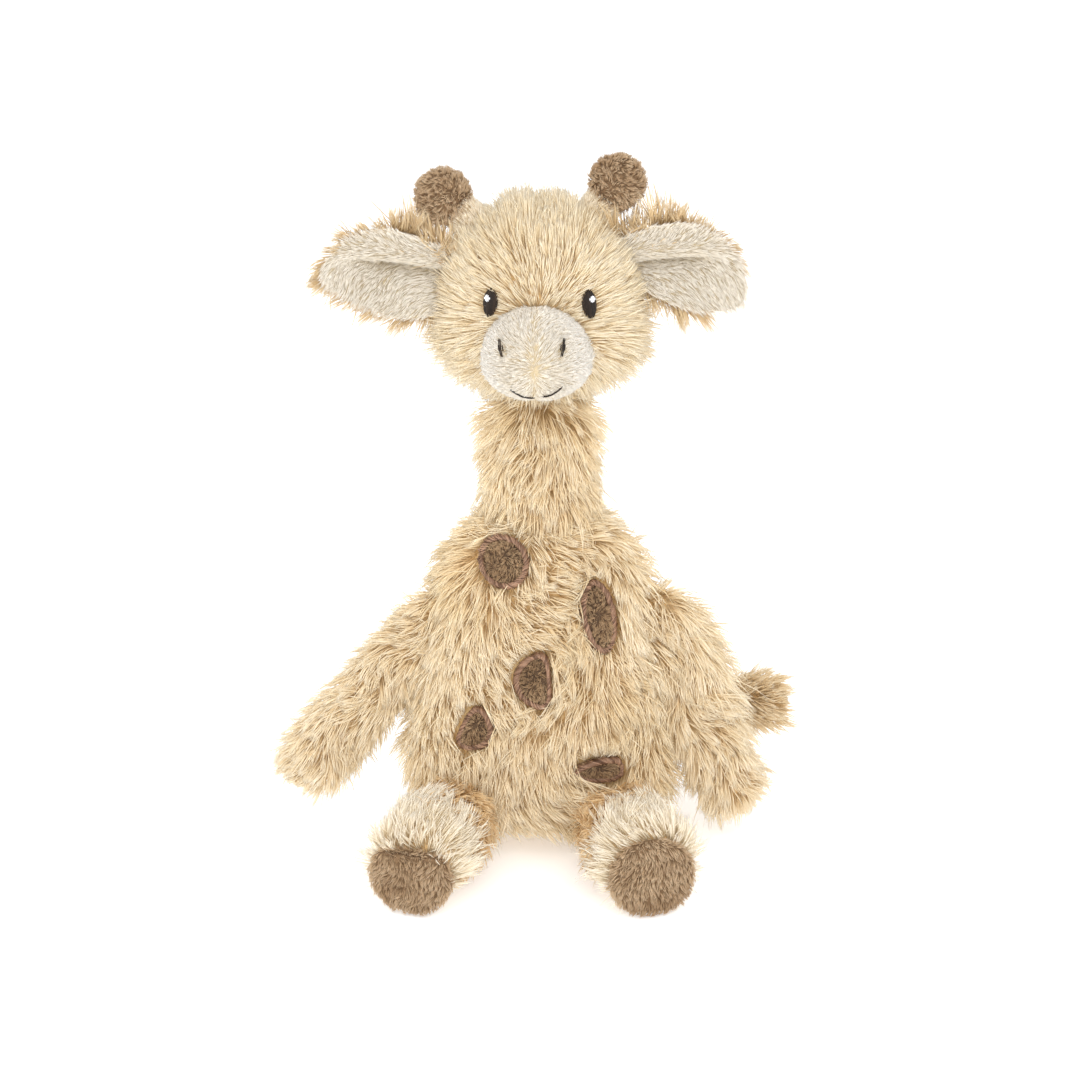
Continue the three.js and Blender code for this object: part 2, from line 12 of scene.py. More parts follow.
import bpy
import numpy as np
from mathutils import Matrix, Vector
from mathutils.bvhtree import BVHTree
from mathutils.kdtree import KDTree


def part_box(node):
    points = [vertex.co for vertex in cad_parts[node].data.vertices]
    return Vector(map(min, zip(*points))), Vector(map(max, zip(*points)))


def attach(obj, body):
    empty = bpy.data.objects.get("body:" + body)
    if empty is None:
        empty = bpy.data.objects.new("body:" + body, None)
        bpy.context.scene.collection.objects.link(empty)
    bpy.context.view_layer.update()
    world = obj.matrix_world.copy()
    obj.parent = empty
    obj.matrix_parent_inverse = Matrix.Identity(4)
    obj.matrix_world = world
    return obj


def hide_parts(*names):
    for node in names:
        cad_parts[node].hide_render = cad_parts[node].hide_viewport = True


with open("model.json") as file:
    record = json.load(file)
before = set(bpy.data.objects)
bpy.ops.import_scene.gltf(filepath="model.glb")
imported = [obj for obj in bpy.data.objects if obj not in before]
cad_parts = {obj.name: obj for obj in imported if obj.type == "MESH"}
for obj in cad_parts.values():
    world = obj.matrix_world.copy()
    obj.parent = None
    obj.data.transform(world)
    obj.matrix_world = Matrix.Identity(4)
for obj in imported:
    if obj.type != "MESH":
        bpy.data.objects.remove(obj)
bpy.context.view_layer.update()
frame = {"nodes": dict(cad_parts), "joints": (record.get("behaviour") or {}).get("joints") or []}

log = logging.getLogger("plush_giraffe")

Piece = bpy.types.Object
Vertex = bpy.types.MeshVertex
Material = bpy.types.Material
NodeTree = bpy.types.NodeTree
NodeSocket = bpy.types.NodeSocket
Items = bpy.types.bpy_prop_collection
Node = bpy.types.Node
Array = np.ndarray
Numbers = tuple[float, ...]
Place = tuple[float, float, float]
Shades = tuple[str, str, str]
Band = tuple[float, float]
Flat = tuple[float, float]
OnCloth = Callable[[Array, Array], Array]

PRINCIPLED = "ShaderNodeBsdfPrincipled"
MM = 0.001
SQUARE_MM = MM * MM
UP = np.array((0.0, 0.0, 1.0))
DOWN = -UP
LEVEL = np.array((1.0, 1.0, 0.0))
FULL_TURN = 2 * math.pi
# The map that a strand's colours follow: U from root to tip, V from the deepest to the palest strand.
BAKE_MAP = "OFBake"
# How far apart the faces round one strand lie in that map.
MAP_STEP = 0.02
# The most triangles in one panel of pile.
PANEL_TRIANGLES = 190_000
# The Y in front of the toy from which its front is probed.
BEFORE_TOY = -0.4
# The slant of a ray that finds out what lies inside a cover, square to none of the toy's faces.
PROBE = Vector((0.36, 0.48, 0.8))
# How far the photograph's eye looks down for each step towards the toy.
EYE_SLOPE = math.tan(math.radians(18))
# The gap that is closed between a CAD mesh's own corners.
WELD = 0.01 * MM
# The least length that a direction is divided by.
LEAST_LENGTH = 1e-12


class Side(Enum):
    """The toy's own sides, with the sign of their X."""

    LEFT = 1
    RIGHT = -1

    @property
    def tag(self) -> str:
        """The side's word in the names of nodes and bodies."""
        return self.name.lower()


class Fill(Enum):
    """How tightly a cover is stuffed."""

    FIRM = 0.8
    SOFT = 0.6
    SLACK = 0.35


def srgb(code: str) -> tuple[float, float, float, float]:
    """Turns an sRGB hex colour to linear values.

    Args:
        code: Six hex digits.

    Returns:
        Linear red, green, blue and an alpha of 1.
    """
    shares = [int(code[i : i + 2], 16) / 255 for i in (0, 2, 4)]
    linear = [s / 12.92 if s <= 0.04045 else ((s + 0.055) / 1.055) ** 2.4 for s in shares]
    return (linear[0], linear[1], linear[2], 1.0)


def add_node(tree: NodeTree, kind: str, inputs: dict | None = None, **settings: object) -> Node:
    """Adds a node with its settings, values and links.

    Args:
        tree: The material's node tree.
        kind: The node's type.
        inputs: A value or an output socket for each input, by name or number.
        settings: The node's own properties.

    Returns:
        The new node.
    """
    node = tree.nodes.new(kind)
    for key, value in settings.items():
        setattr(node, key, value)
    for key, value in (inputs or {}).items():
        if isinstance(value, NodeSocket):
            tree.links.new(value, node.inputs[key])
        else:
            node.inputs[key].default_value = value
    return node


def ramp(tree: NodeTree, along: NodeSocket, places: Sequence[float], codes: Sequence[str]) -> NodeSocket:
    """Adds a colour ramp.

    Args:
        tree: The material's node tree.
        along: The value that it follows.
        places: The value at each of its stops.
        codes: The stops' hex colours.

    Returns:
        The ramp's colour output.
    """
    node = add_node(tree, "ShaderNodeValToRGB", {"Fac": along})
    elements = node.color_ramp.elements
    while len(elements) < len(places):
        elements.new(0.5)
    for element, place, code in zip(elements, places, codes):
        element.position = place
        element.color = srgb(code)
    return node.outputs["Color"]


def made_once(name: str, weave: Callable[[NodeTree], Node]) -> Material:
    """Finds a material, or makes it the first time it is asked for.

    Args:
        name: The material's name.
        weave: Adds its nodes to an empty tree and returns the shader.

    Returns:
        The material.
    """
    if name in bpy.data.materials:
        return bpy.data.materials[name]
    material = bpy.data.materials.new(name)
    material.use_nodes = True
    material.node_tree.nodes.clear()
    shader = weave(material.node_tree)
    add_node(material.node_tree, "ShaderNodeOutputMaterial", {"Surface": shader.outputs["BSDF"]})
    return material


def strand_place(tree: NodeTree) -> Items:
    """The place on a strand: X from root to tip, Y from the deepest to the palest strand."""
    place = add_node(tree, "ShaderNodeUVMap", uv_map=BAKE_MAP)
    return add_node(tree, "ShaderNodeSeparateXYZ", {"Vector": place.outputs["UV"]}).outputs


@dataclass(frozen=True)
class PileFinish:
    """Dyed polyester pile, ramped from a darker root to paler brushed tips: the darker root is partly its dye
    and partly painted shade where the strands are packed.

    The light that deep pile passes on from strand to strand is painted on as a faint glow of its own colour.
    """

    name: str
    slot: str
    # The knit's two colours, set darker than the strands': partly its own colour and partly painted shade for
    # the gaps between strands.
    cloth: tuple[str, str]
    deep: Shades
    pale: Shades
    # The colour and strength of the painted glow that stands in for light passed on between strands.
    scatter: str = "dcc08c"
    scattered: float = 0.09
    roughness: float = 0.62
    sheen: float = 0.06
    sheen_roughness: float = 0.5
    ior: float = 1.52
    specular: float = 0.25
    shade_stops: Place = (0.0, 0.42, 0.92)
    cloth_stops: Band = (0.3, 0.7)
    cloth_roughness: float = 0.85
    knit_size: float = 1.2 * MM
    knit_relief: float = 0.3 * MM
    knit_strength: float = 0.6

    def strand_shader(self, tree: NodeTree) -> Node:
        """Colours each strand from its root, darkened partly as painted shade, to its tip, between the deep
        and the pale shades, with the painted glow.
        """
        place = strand_place(tree)
        deep, pale = (ramp(tree, place["X"], self.shade_stops, shades) for shades in (self.deep, self.pale))
        mixed = add_node(tree, "ShaderNodeMix", {0: place["Y"], 6: deep, 7: pale}, data_type="RGBA")
        return add_node(tree, PRINCIPLED, {
            "Base Color": mixed.outputs[2],
            "Roughness": self.roughness,
            "IOR": self.ior,
            "Specular IOR Level": self.specular,
            "Sheen Weight": self.sheen,
            "Sheen Roughness": self.sheen_roughness,
            # Painted glow: an emission standing in for light passed on between strands, though the pile is no
            # lamp.
            "Emission Color": srgb(self.scatter),
            "Emission Strength": self.scattered,
        })

    def cloth_shader(self, tree: NodeTree) -> Node:
        """Colours the knit, drawn coarser than real so that it shows."""
        place = add_node(tree, "ShaderNodeTexCoord").outputs["Object"]
        values = {"Vector": place, "Scale": 1 / self.knit_size, "Detail": 3.0}
        knit = add_node(tree, "ShaderNodeTexNoise", values).outputs["Fac"]
        values = {"Height": knit, "Distance": self.knit_relief, "Strength": self.knit_strength}
        bump = add_node(tree, "ShaderNodeBump", values).outputs["Normal"]
        return add_node(tree, PRINCIPLED, {
            "Base Color": ramp(tree, knit, self.cloth_stops, self.cloth),
            "Roughness": self.cloth_roughness,
            "Sheen Weight": self.sheen,
            "Normal": bump,
        })

    def material(self) -> Material:
        """The strands' material."""
        return made_once(self.name, self.strand_shader)

    def backing(self) -> Material:
        """The knitted cloth under the strands, seen only between them, darkened partly as painted shade for
        those gaps.
        """
        return made_once(f"{self.name}_backing", self.cloth_shader)


# Brushed faux fur of polyester, beige at the root and cream at the tip, with a dull silky shine.
LONG_PILE = PileFinish(
    "beige_faux_fur", "long_pile", cloth=("cda870", "e2c492"),
    deep=("dcb47c", "e6cea3", "ecdcbb"), pale=("eacc9a", "f4e5c9", "faf0dd"),
)
# The same fur on the head, a shade paler where it is brushed open from the muzzle.
HEAD_PILE = PileFinish(
    "pale_faux_fur", "long_pile", cloth=("cda269", "e2c090"), scatter="dcccac", scattered=0.12,
    deep=("dcb882", "e3cfa8", "e9d9bc"), pale=("eed4a2", "f5ead2", "faf3e3"),
)
# Tumbled fur on the thighs, curled and matted, of a deeper and more orange beige than the body's.
THIGH_PILE = PileFinish(
    "curled_faux_fur", "long_pile", cloth=("bd8a4e", "d6a66a"), scatter="e0b070", scattered=0.06,
    deep=("c49252", "d8b078", "e0c294"), pale=("d8b078", "e8ca9a", "eed8b6"),
)
# Undyed fur on the feet, nearly white at the tips.
FOOT_PILE = PileFinish(
    "cream_faux_fur", "foot_pile", cloth=("d2b07c", "e2c696"), scatter="e6cca4",
    deep=("e6d0a4", "eee0c4", "f2e7d3"), pale=("f0e2c2", "f6efe0", "faf6ee"),
)
# Fur behind the ears, in the toy's own shade and so tan.
EAR_PILE = PileFinish(
    "tan_ear_fur", "long_pile", cloth=("a8865a", "c09c6c"), scatter="d8b070", scattered=0.05,
    deep=("c29f6e", "d6b686", "e0c8a0"), pale=("d8ba8a", "e7d2aa", "f0e0c4"),
)
# The tail's tuft, a little browner than the body: painted shade, as the tail sits behind the body and arm.
SHADED_TAIL_PILE = PileFinish(
    "tan_tail_fur", "long_pile", cloth=("b08c5a", "c8a674"), scatter="d4c09a",
    deep=("d3ab70", "e0c192", "e8d1aa"), pale=("e2c28e", "eedab6", "f4e8d0"),
)
# Cream velboa: dense short pile that lies down and looks smooth and matt.
SHORT_PILE = PileFinish(
    "cream_velboa", "short_pile", cloth=("b4a282", "c6b594"), scatter="e4d8c4", scattered=0.11,
    deep=("d2c3a4", "e0d5c1", "e8e0d0"), pale=("eae0ce", "f8f4ee", "fcfaf6"),
)
# Brown velboa: it stands up and shows its dark roots in small tufts.
BROWN_PILE = PileFinish(
    "brown_velboa", "brown_pile", cloth=("6f573c", "86694a"), scatter="a07040", scattered=0.06,
    deep=("866b4c", "ad8f6d", "bfa180"), pale=("ab8d69", "cfb492", "e0caaa"),
)
# The same cream velboa, painted paler and warmer: painted light where the stalks stand shaded in the crown's
# fur.
PAINTED_LIGHT_STALK_PILE = replace(
    SHORT_PILE, name="horn_velboa", cloth=("c4aa7e", "d6bf94"), scatter="ead0a0",
    deep=("dec69a", "eddbbc", "f2e4cd"), pale=("ecd8b4", "f7ecd8", "faf3e6"),
)
# The same brown velboa, deeper inside the spots' raised borders.
SPOT_PILE = PileFinish(
    "spot_velboa", "spot_pile", cloth=("4e3a26", "664e36"), scatter="805028", scattered=0.05,
    deep=("6e553a", "9a7b5b", "ae8f6b"), pale=("927455", "c0a17c", "d2b590"),
)


@dataclass(frozen=True)
class ThreadFinish:
    """Rayon embroidery thread, laid side by side so that it shines across its run."""

    name: str
    slot: str
    deep: str
    pale: str
    roughness: float = 0.38
    ior: float = 1.53
    specular: float = 0.3

    def thread_shader(self, tree: NodeTree) -> Node:
        """Colours each thread by its own tone."""
        return add_node(tree, PRINCIPLED, {
            "Base Color": ramp(tree, strand_place(tree)["Y"], (0.0, 1.0), (self.deep, self.pale)),
            "Roughness": self.roughness,
            "IOR": self.ior,
            "Specular IOR Level": self.specular,
        })

    def material(self) -> Material:
        """The thread's material."""
        return made_once(self.name, self.thread_shader)


# Brown thread round the spots, with a satin gleam.
SATIN_STITCH = ThreadFinish("brown_rayon_thread", "satin_stitch", "5c402e", "a5826a")
# Nearly black thread of eyes, nostrils and mouth, duller because it is laid tightly.
DARK_STITCH = ThreadFinish("dark_rayon_thread", "dark_stitch", "120b06", "3a2a1e", 0.5)
# White thread of the glints.
WHITE_STITCH = ThreadFinish("white_rayon_thread", "white_stitch", "e4e4ea", "fbfbff")


@dataclass(frozen=True)
class PaperFinish:
    """White backdrop paper, matt and with a faint glow of its own, so that it stays plain and pale."""

    name: str = "white_backdrop_paper"
    colour: str = "ffffff"
    roughness: float = 0.9
    glow: float = 0.36

    def paper_shader(self, tree: NodeTree) -> Node:
        """Colours the paper."""
        return add_node(tree, PRINCIPLED, {
            "Base Color": srgb(self.colour),
            "Roughness": self.roughness,
            "Emission Color": srgb(self.colour),
            "Emission Strength": self.glow,
        })

    def material(self) -> Material:
        """The paper's material."""
        return made_once(self.name, self.paper_shader)


def unit(vectors: Array) -> Array:
    """Vectors of the same directions with a length of 1."""
    return vectors / np.maximum(np.linalg.norm(vectors, axis=-1, keepdims=True), LEAST_LENGTH)


def along_cloth(directions: Array, normals: Array) -> Array:
    """The part of each direction that lies in the cloth, with a length of 1."""
    return unit(directions - normals * (directions * normals).sum(axis=-1, keepdims=True))


def ease(values: Array, start: float, end: float) -> Array:
    """Rises smoothly from 0 at start to 1 at end."""
    share = np.clip((values - start) / (end - start), 0, 1)
    return share * share * (3 - 2 * share)


def turned(vectors: Array, axes: Array, angles: Array) -> Array:
    """Turns each vector that is square to its axis about it, by an angle in radians."""
    angles = angles[:, None]
    return vectors * np.cos(angles) + np.cross(axes, vectors) * np.sin(angles)


def hump(values: Array, middle: float, width: float) -> Array:
    """1 at the middle and falling softly away from it."""
    return np.exp(-(((values - middle) / width) ** 2))


class Drift:
    """Smooth wandering values over space, the same on each run."""

    def __init__(self, seed: int, size: float, waves: int = 7, spread: Band = (0.6, 1.5)) -> None:
        """Draws the waves.

        Args:
            seed: Starts the draws.
            size: The usual width of a swell.
            waves: How many waves are summed.
            spread: How short and how long they may be, against the usual.
        """
        rng = np.random.default_rng(seed)
        self.waves = unit(rng.normal(size=(waves, 3))) * (math.pi / size) * rng.uniform(*spread, (waves, 1))
        self.phases = rng.uniform(0, FULL_TURN, waves)

    def at(self, points: Array) -> Array:
        """Values of about -1 to 1 at the points."""
        return np.sin(points @ self.waves.T + self.phases).sum(axis=1) / math.sqrt(len(self.phases) / 2)


@dataclass(frozen=True)
class Oval:
    """An outline across X and Z of the toy's front; bend pushes its middle sideways by a share.

    With a slope, points before the depth count by where they hide it from a raised eye.
    """

    centre: Flat
    half_width: float
    half_height: float
    turn: float = 0.0
    bend: float = 0.0
    slope: float = 0.0
    depth: float = 0.0

    def outline(self, count: int, grow: float = 0.0) -> Array:
        """Points round the outline.

        Args:
            count: How many points.
            grow: How far outside the outline they lie.

        Returns:
            X and Z of each point.
        """
        angle = FULL_TURN * np.arange(count) / count
        across = (self.half_width + grow) * (np.cos(angle) - self.bend * np.cos(2 * angle))
        along = (self.half_height + grow) * np.sin(angle)
        return self.placed(across, along)

    def placed(self, across: Array, along: Array) -> Array:
        """X and Z of points given along the outline's own width and height."""
        lean = math.radians(self.turn)
        x = self.centre[0] + across * math.cos(lean) - along * math.sin(lean)
        z = self.centre[1] + across * math.sin(lean) + along * math.cos(lean)
        return np.stack((x, z), axis=1)

    def holds(self, points: Array, grow: float = 0.0) -> Array:
        """Tells which points on the toy's front lie inside the outline.

        Args:
            points: Places in space.
            grow: How far the outline is widened.

        Returns:
            True for each of them.
        """
        lean = math.radians(self.turn)
        x, z = points[:, 0] - self.centre[0], points[:, 2] - self.centre[1]
        z = z + self.slope * (points[:, 1] - self.depth)
        across = (x * math.cos(lean) + z * math.sin(lean)) / (self.half_width + grow)
        along = (z * math.cos(lean) - x * math.sin(lean)) / (self.half_height + grow)
        across = across + self.bend * (1 - 2 * along**2)
        return (across**2 + along**2 < 1) & (points[:, 1] < 0)


@dataclass(frozen=True)
class Disc:
    """A round pad seen along its axis, kept clear of the pile round it."""

    centre: Array
    axis: Array
    radius: float
    depth: float

    def holds(self, points: Array, grow: float = 0.0) -> Array:
        """Tells which points stand before the pad.

        Args:
            points: Places in space.
            grow: How far the pad is widened.

        Returns:
            True for each of them.
        """
        away = points - self.centre
        along = away @ self.axis
        across = np.linalg.norm(away - along[:, None] * self.axis, axis=1)
        return (across < self.radius + grow) & (along > -self.depth)


def new_piece(name: str, data: bpy.types.ID) -> Piece:
    """Puts a mesh, a lamp or a camera in the scene as an object."""
    piece = bpy.data.objects.new(name, data)
    bpy.context.scene.collection.objects.link(piece)
    return piece


def clear_selection() -> None:
    """Leaves object mode's selection empty."""
    bpy.ops.object.select_all(action="DESELECT")


def make_active(piece: Piece) -> None:
    """Selects one object and makes it the active one."""
    clear_selection()
    piece.select_set(True)
    bpy.context.view_layer.objects.active = piece


def edit_whole(operator: Callable[..., object], **settings: object) -> None:
    """Runs an edit operator on the whole of the active mesh."""
    bpy.ops.object.mode_set(mode="EDIT")
    bpy.ops.mesh.select_all(action="SELECT")
    operator(**settings)
    bpy.ops.object.mode_set(mode="OBJECT")


def copy_of(name: str, *nodes: str) -> Piece:
    """One new object with the merged meshes of some CAD nodes.

    Args:
        name: The new object's name.
        nodes: The nodes' names.

    Returns:
        The new object.
    """
    copies = [new_piece(name, frame["nodes"][node].data.copy()) for node in nodes]
    piece = copies[0]
    make_active(piece)
    for copy in copies:
        copy.data.materials.clear()
        copy.select_set(True)
    if len(copies) > 1:
        bpy.ops.object.join()
    edit_whole(bpy.ops.mesh.remove_doubles, threshold=WELD)
    return piece


def apply_modifier(piece: Piece, kind: str, **settings: object) -> None:
    """Adds a modifier with its settings and applies it.

    Args:
        piece: The object.
        kind: The modifier's type.
        settings: The modifier's own properties.
    """
    make_active(piece)
    modifier = piece.modifiers.new(kind.lower(), kind)
    for key, value in settings.items():
        setattr(modifier, key, value)
    bpy.ops.object.modifier_apply(modifier=modifier.name)


def soften(piece: Piece, rounds: int) -> None:
    """Smooths a mesh a number of times."""
    apply_modifier(piece, "SMOOTH", factor=0.5, iterations=rounds)


def sink(piece: Piece, depth: float) -> None:
    """Moves a mesh inwards along its normals."""
    apply_modifier(piece, "DISPLACE", mid_level=0.0, strength=-depth, direction="NORMAL")


def refine(piece: Piece, levels: int) -> None:
    """Rounds a mesh by subdivision."""
    apply_modifier(piece, "SUBSURF", levels=levels, render_levels=levels)


@dataclass(frozen=True)
class Sewing:
    """How a cover's mesh is softened: once for its cells, then at each step of sinking it under its pile."""

    steps: int = 4
    rounds: int = 6
    rounds_by_depth: int = 9

    def cover(
        self, name: str, nodes: Sequence[str], inset: float, voxel: float, convex: bool = True
    ) -> Piece:
        """A smooth closed cover inside the outer shape of CAD nodes, sunk by the depth of its pile.

        Args:
            name: The new object's name.
            nodes: The nodes whose outer shape it follows.
            inset: The depth of the pile.
            voxel: The size of the remeshed cells.
            convex: True where the form has no hollow, so that its sockets close.

        Returns:
            The cover.
        """
        piece = copy_of(name, *nodes)
        if convex:
            edit_whole(bpy.ops.mesh.convex_hull)
        apply_modifier(piece, "REMESH", mode="VOXEL", voxel_size=voxel)
        if not convex:
            keep_largest(piece)
        soften(piece, self.rounds + int(self.rounds_by_depth * (inset / voxel) ** 2))
        if inset:
            for _ in range(self.steps):
                sink(piece, inset / self.steps)
                soften(piece, self.rounds)
        bpy.ops.object.shade_smooth()
        return piece


def keep_largest(piece: Piece) -> None:
    """Deletes all but the largest loose part, such as the inner wall of a hollow cover."""
    make_active(piece)
    bpy.ops.mesh.separate(type="LOOSE")
    parts = list(bpy.context.selected_objects)
    parts.sort(key=lambda part: Vector(part.dimensions).length)
    largest = parts.pop()
    for part in parts:
        bpy.data.objects.remove(part)
    name = piece.name if largest is piece else largest.name.split(".")[0]
    make_active(largest)
    largest.name = name


def triples(items: Items, attribute: str, kind: type = np.float32) -> Array:
    """Reads an attribute of three numbers from each of a mesh's items."""
    values = np.empty(len(items) * 3, kind)
    items.foreach_get(attribute, values)
    return values.reshape(-1, 3)


class Surface:
    """A mesh as arrays, to root pile on and to measure depth from."""

    def __init__(self, piece: Piece) -> None:
        """Reads the mesh.

        Args:
            piece: A mesh object at the origin.
        """
        mesh = piece.data
        mesh.calc_loop_triangles()
        self.points = triples(mesh.vertices, "co").astype(float)
        self.normals = triples(mesh.vertices, "normal").astype(float)
        self.faces = triples(mesh.loop_triangles, "vertices", np.int32)
        corners = self.points[self.faces]
        crossed = np.cross(corners[:, 1] - corners[:, 0], corners[:, 2] - corners[:, 0])
        self.areas = np.linalg.norm(crossed, axis=1) / 2
        self.tree = BVHTree.FromPolygons(self.points.tolist(), self.faces.tolist())
        self.centre = (self.points.min(axis=0) + self.points.max(axis=0)) / 2

    def scatter(self, per_square_mm: float, rng: np.random.Generator) -> tuple[Array, Array]:
        """Spreads points evenly over the mesh.

        Args:
            per_square_mm: How many on each square millimetre.
            rng: Makes the draws.

        Returns:
            The points and the normals there.
        """
        total = self.areas.sum()
        count = int(total / SQUARE_MM * per_square_mm)
        picked = self.faces[rng.choice(len(self.areas), size=count, p=self.areas / total)]
        first, second = np.sqrt(rng.random(count)), rng.random(count)
        shares = np.stack((1 - first, first * (1 - second), first * second), axis=1)[:, :, None]
        return (self.points[picked] * shares).sum(axis=1), unit((self.normals[picked] * shares).sum(axis=1))

    def heights(self, points: Array, near: float = 2 * MM) -> Array:
        """How far each point lies outside the mesh, below zero inside it.

        Args:
            points: Places in space.
            near: How far from the mesh's box a point is still measured to the mesh.

        Returns:
            The distance of each point.
        """
        low, high = self.points.min(axis=0), self.points.max(axis=0)
        beyond = np.maximum(low - points, points - high).max(axis=1)
        heights = np.maximum(beyond, 0.0)
        for i in np.flatnonzero(beyond < near):
            point = Vector(points[i])
            apart = self.tree.find_nearest(point)[3]
            heights[i] = -apart if self.crossings(point) % 2 else apart
        return heights

    def crossings(self, point: Vector, skip: float = 0.001 * MM) -> int:
        """How often a ray from the point passes through the mesh."""
        count = 0
        hit = self.tree.ray_cast(point, PROBE)[0]
        while hit is not None:
            count += 1
            hit = self.tree.ray_cast(hit + PROBE * skip, PROBE)[0]
        return count

    def front(self, flat: Array, inset: float) -> tuple[Array, Array]:
        """Finds places on the side of the mesh that faces -Y.

        Args:
            flat: X and Z of each place.
            inset: How far under the surface they are taken.

        Returns:
            The places and the normals there.
        """
        places, normals = [], []
        for x, z in flat:
            hit, normal, _, _ = self.tree.ray_cast(Vector((x, BEFORE_TOY, z)), Vector((0, 1, 0)))
            if hit is None:
                hit, normal, _, _ = self.tree.find_nearest(Vector((x, self.points[:, 1].min(), z)))
            places.append(hit - normal * inset)
            normals.append(normal)
        return np.array(places, float), np.array(normals, float)


@dataclass
class Strands:
    """Fibres or threads, each a path of points from root to tip."""

    path: Array
    out: Array
    radius: Array
    tone: Array

    def part(self, chosen: Array) -> "Strands":
        """The chosen strands."""
        return Strands(self.path[chosen], self.out[chosen], self.radius[chosen], self.tone[chosen])

    def triangles(self, sides: int = 3) -> int:
        """How many triangles each strand takes."""
        return 2 * sides * (self.path.shape[1] - 2) + 2 * sides - 2

    def rings(self, profile: Sequence[float], sides: int) -> Array:
        """Places round each strand's path.

        Args:
            profile: The thickness at each point of a path, as a share of the radius.
            sides: The sides of a tube.

        Returns:
            The places, by strand, point of the path and side.
        """
        run = unit(np.gradient(self.path, axis=1))
        side = unit(np.cross(run, self.out[:, None, :]))
        rise = np.cross(side, run)
        turn = FULL_TURN * np.arange(sides) / sides + math.pi / 2
        round_it = side[:, :, None, :] * np.cos(turn)[:, None] + rise[:, :, None, :] * np.sin(turn)[:, None]
        thickness = self.radius[:, None] * np.array(profile)[None, :]
        return self.path[:, :, None, :] + round_it * thickness[:, :, None, None]


def tube_faces(rings: int, sides: int, pointed: bool) -> list[tuple[int, ...]]:
    """The faces of one closed tube, with a flat root.

    Args:
        rings: The rings of points along it.
        sides: The points in a ring.
        pointed: True where one more point ends it.

    Returns:
        The points of each face, outwards.
    """
    last = (rings - 1) * sides
    faces = []
    for low in range(0, last, sides):
        for i in range(sides):
            j = (i + 1) % sides
            faces.append((low + j, low + i, low + sides + i, low + sides + j))
    faces.append(tuple(range(sides)))
    if pointed:
        faces.extend((last + (i + 1) % sides, last + i, rings * sides) for i in range(sides))
    else:
        faces.append(tuple(last + i for i in reversed(range(sides))))
    return faces


def strand_mesh(name: str, strands: Strands, profile: Sequence[float], sides: int = 3) -> Piece:
    """Builds closed tubes along paths, drawn to a point or closed flat at the tip.

    Args:
        name: The new object's name.
        strands: The paths.
        profile: The thickness along a path, as a share of the radius; a last 0 draws it to a point.
        sides: The sides of a tube.

    Returns:
        The object, with the bake map laid from root to tip.
    """
    count, steps, _ = strands.path.shape
    pointed = profile[-1] == 0
    rings = steps - 1 if pointed else steps
    points = strands.rings(profile, sides)[:, :rings].reshape(count, rings * sides, 3)
    u = np.repeat(np.linspace(0, 1, steps)[:rings], sides) + np.tile(np.linspace(0, MAP_STEP, sides), rings)
    v = np.tile(np.linspace(-MAP_STEP / 2, MAP_STEP / 2, sides), rings)
    if pointed:
        points = np.concatenate((points, strands.path[:, -1:]), axis=1)
        u, v = np.append(u, 1.0), np.append(v, 0.0)
    faces = tube_faces(rings, sides, pointed)
    sizes = np.array([len(face) for face in faces])
    corners = np.concatenate([np.array(face) for face in faces])
    offsets = (np.arange(count) * points.shape[1])[:, None]
    loops = (corners[None, :] + offsets).ravel().astype(np.int32)
    starts = np.concatenate(([0], np.cumsum(np.tile(sizes, count))[:-1])).astype(np.int32)
    mesh = bpy.data.meshes.new(name)
    mesh.vertices.add(points.shape[0] * points.shape[1])
    mesh.vertices.foreach_set("co", points.astype(np.float32).ravel())
    mesh.loops.add(len(loops))
    mesh.loops.foreach_set("vertex_index", loops)
    mesh.polygons.add(len(starts))
    mesh.polygons.foreach_set("loop_start", starts)
    mesh.update(calc_edges=True)
    tones = np.clip(strands.tone, MAP_STEP, 1 - MAP_STEP)[:, None] + v[None, :]
    flat = np.stack((np.tile(u, count), tones.ravel()), axis=1)[loops]
    mesh.uv_layers.new(name=BAKE_MAP).uv.foreach_set("vector", flat.astype(np.float32).ravel())
    mesh.shade_smooth()
    return new_piece(name, mesh)


@dataclass(frozen=True)
class Fade:
    """A change that is nothing up to the start and whole past the end, which may lie below the start."""

    amount: float
    start: float
    end: float

    def at(self, values: Array) -> Array:
        """The change at each value."""
        return self.amount * ease(values, self.start, self.end)


def one_way(direction: Array) -> OnCloth:
    """A comb that brushes the whole pile one way."""
    return lambda points, normals: np.broadcast_to(direction, points.shape)


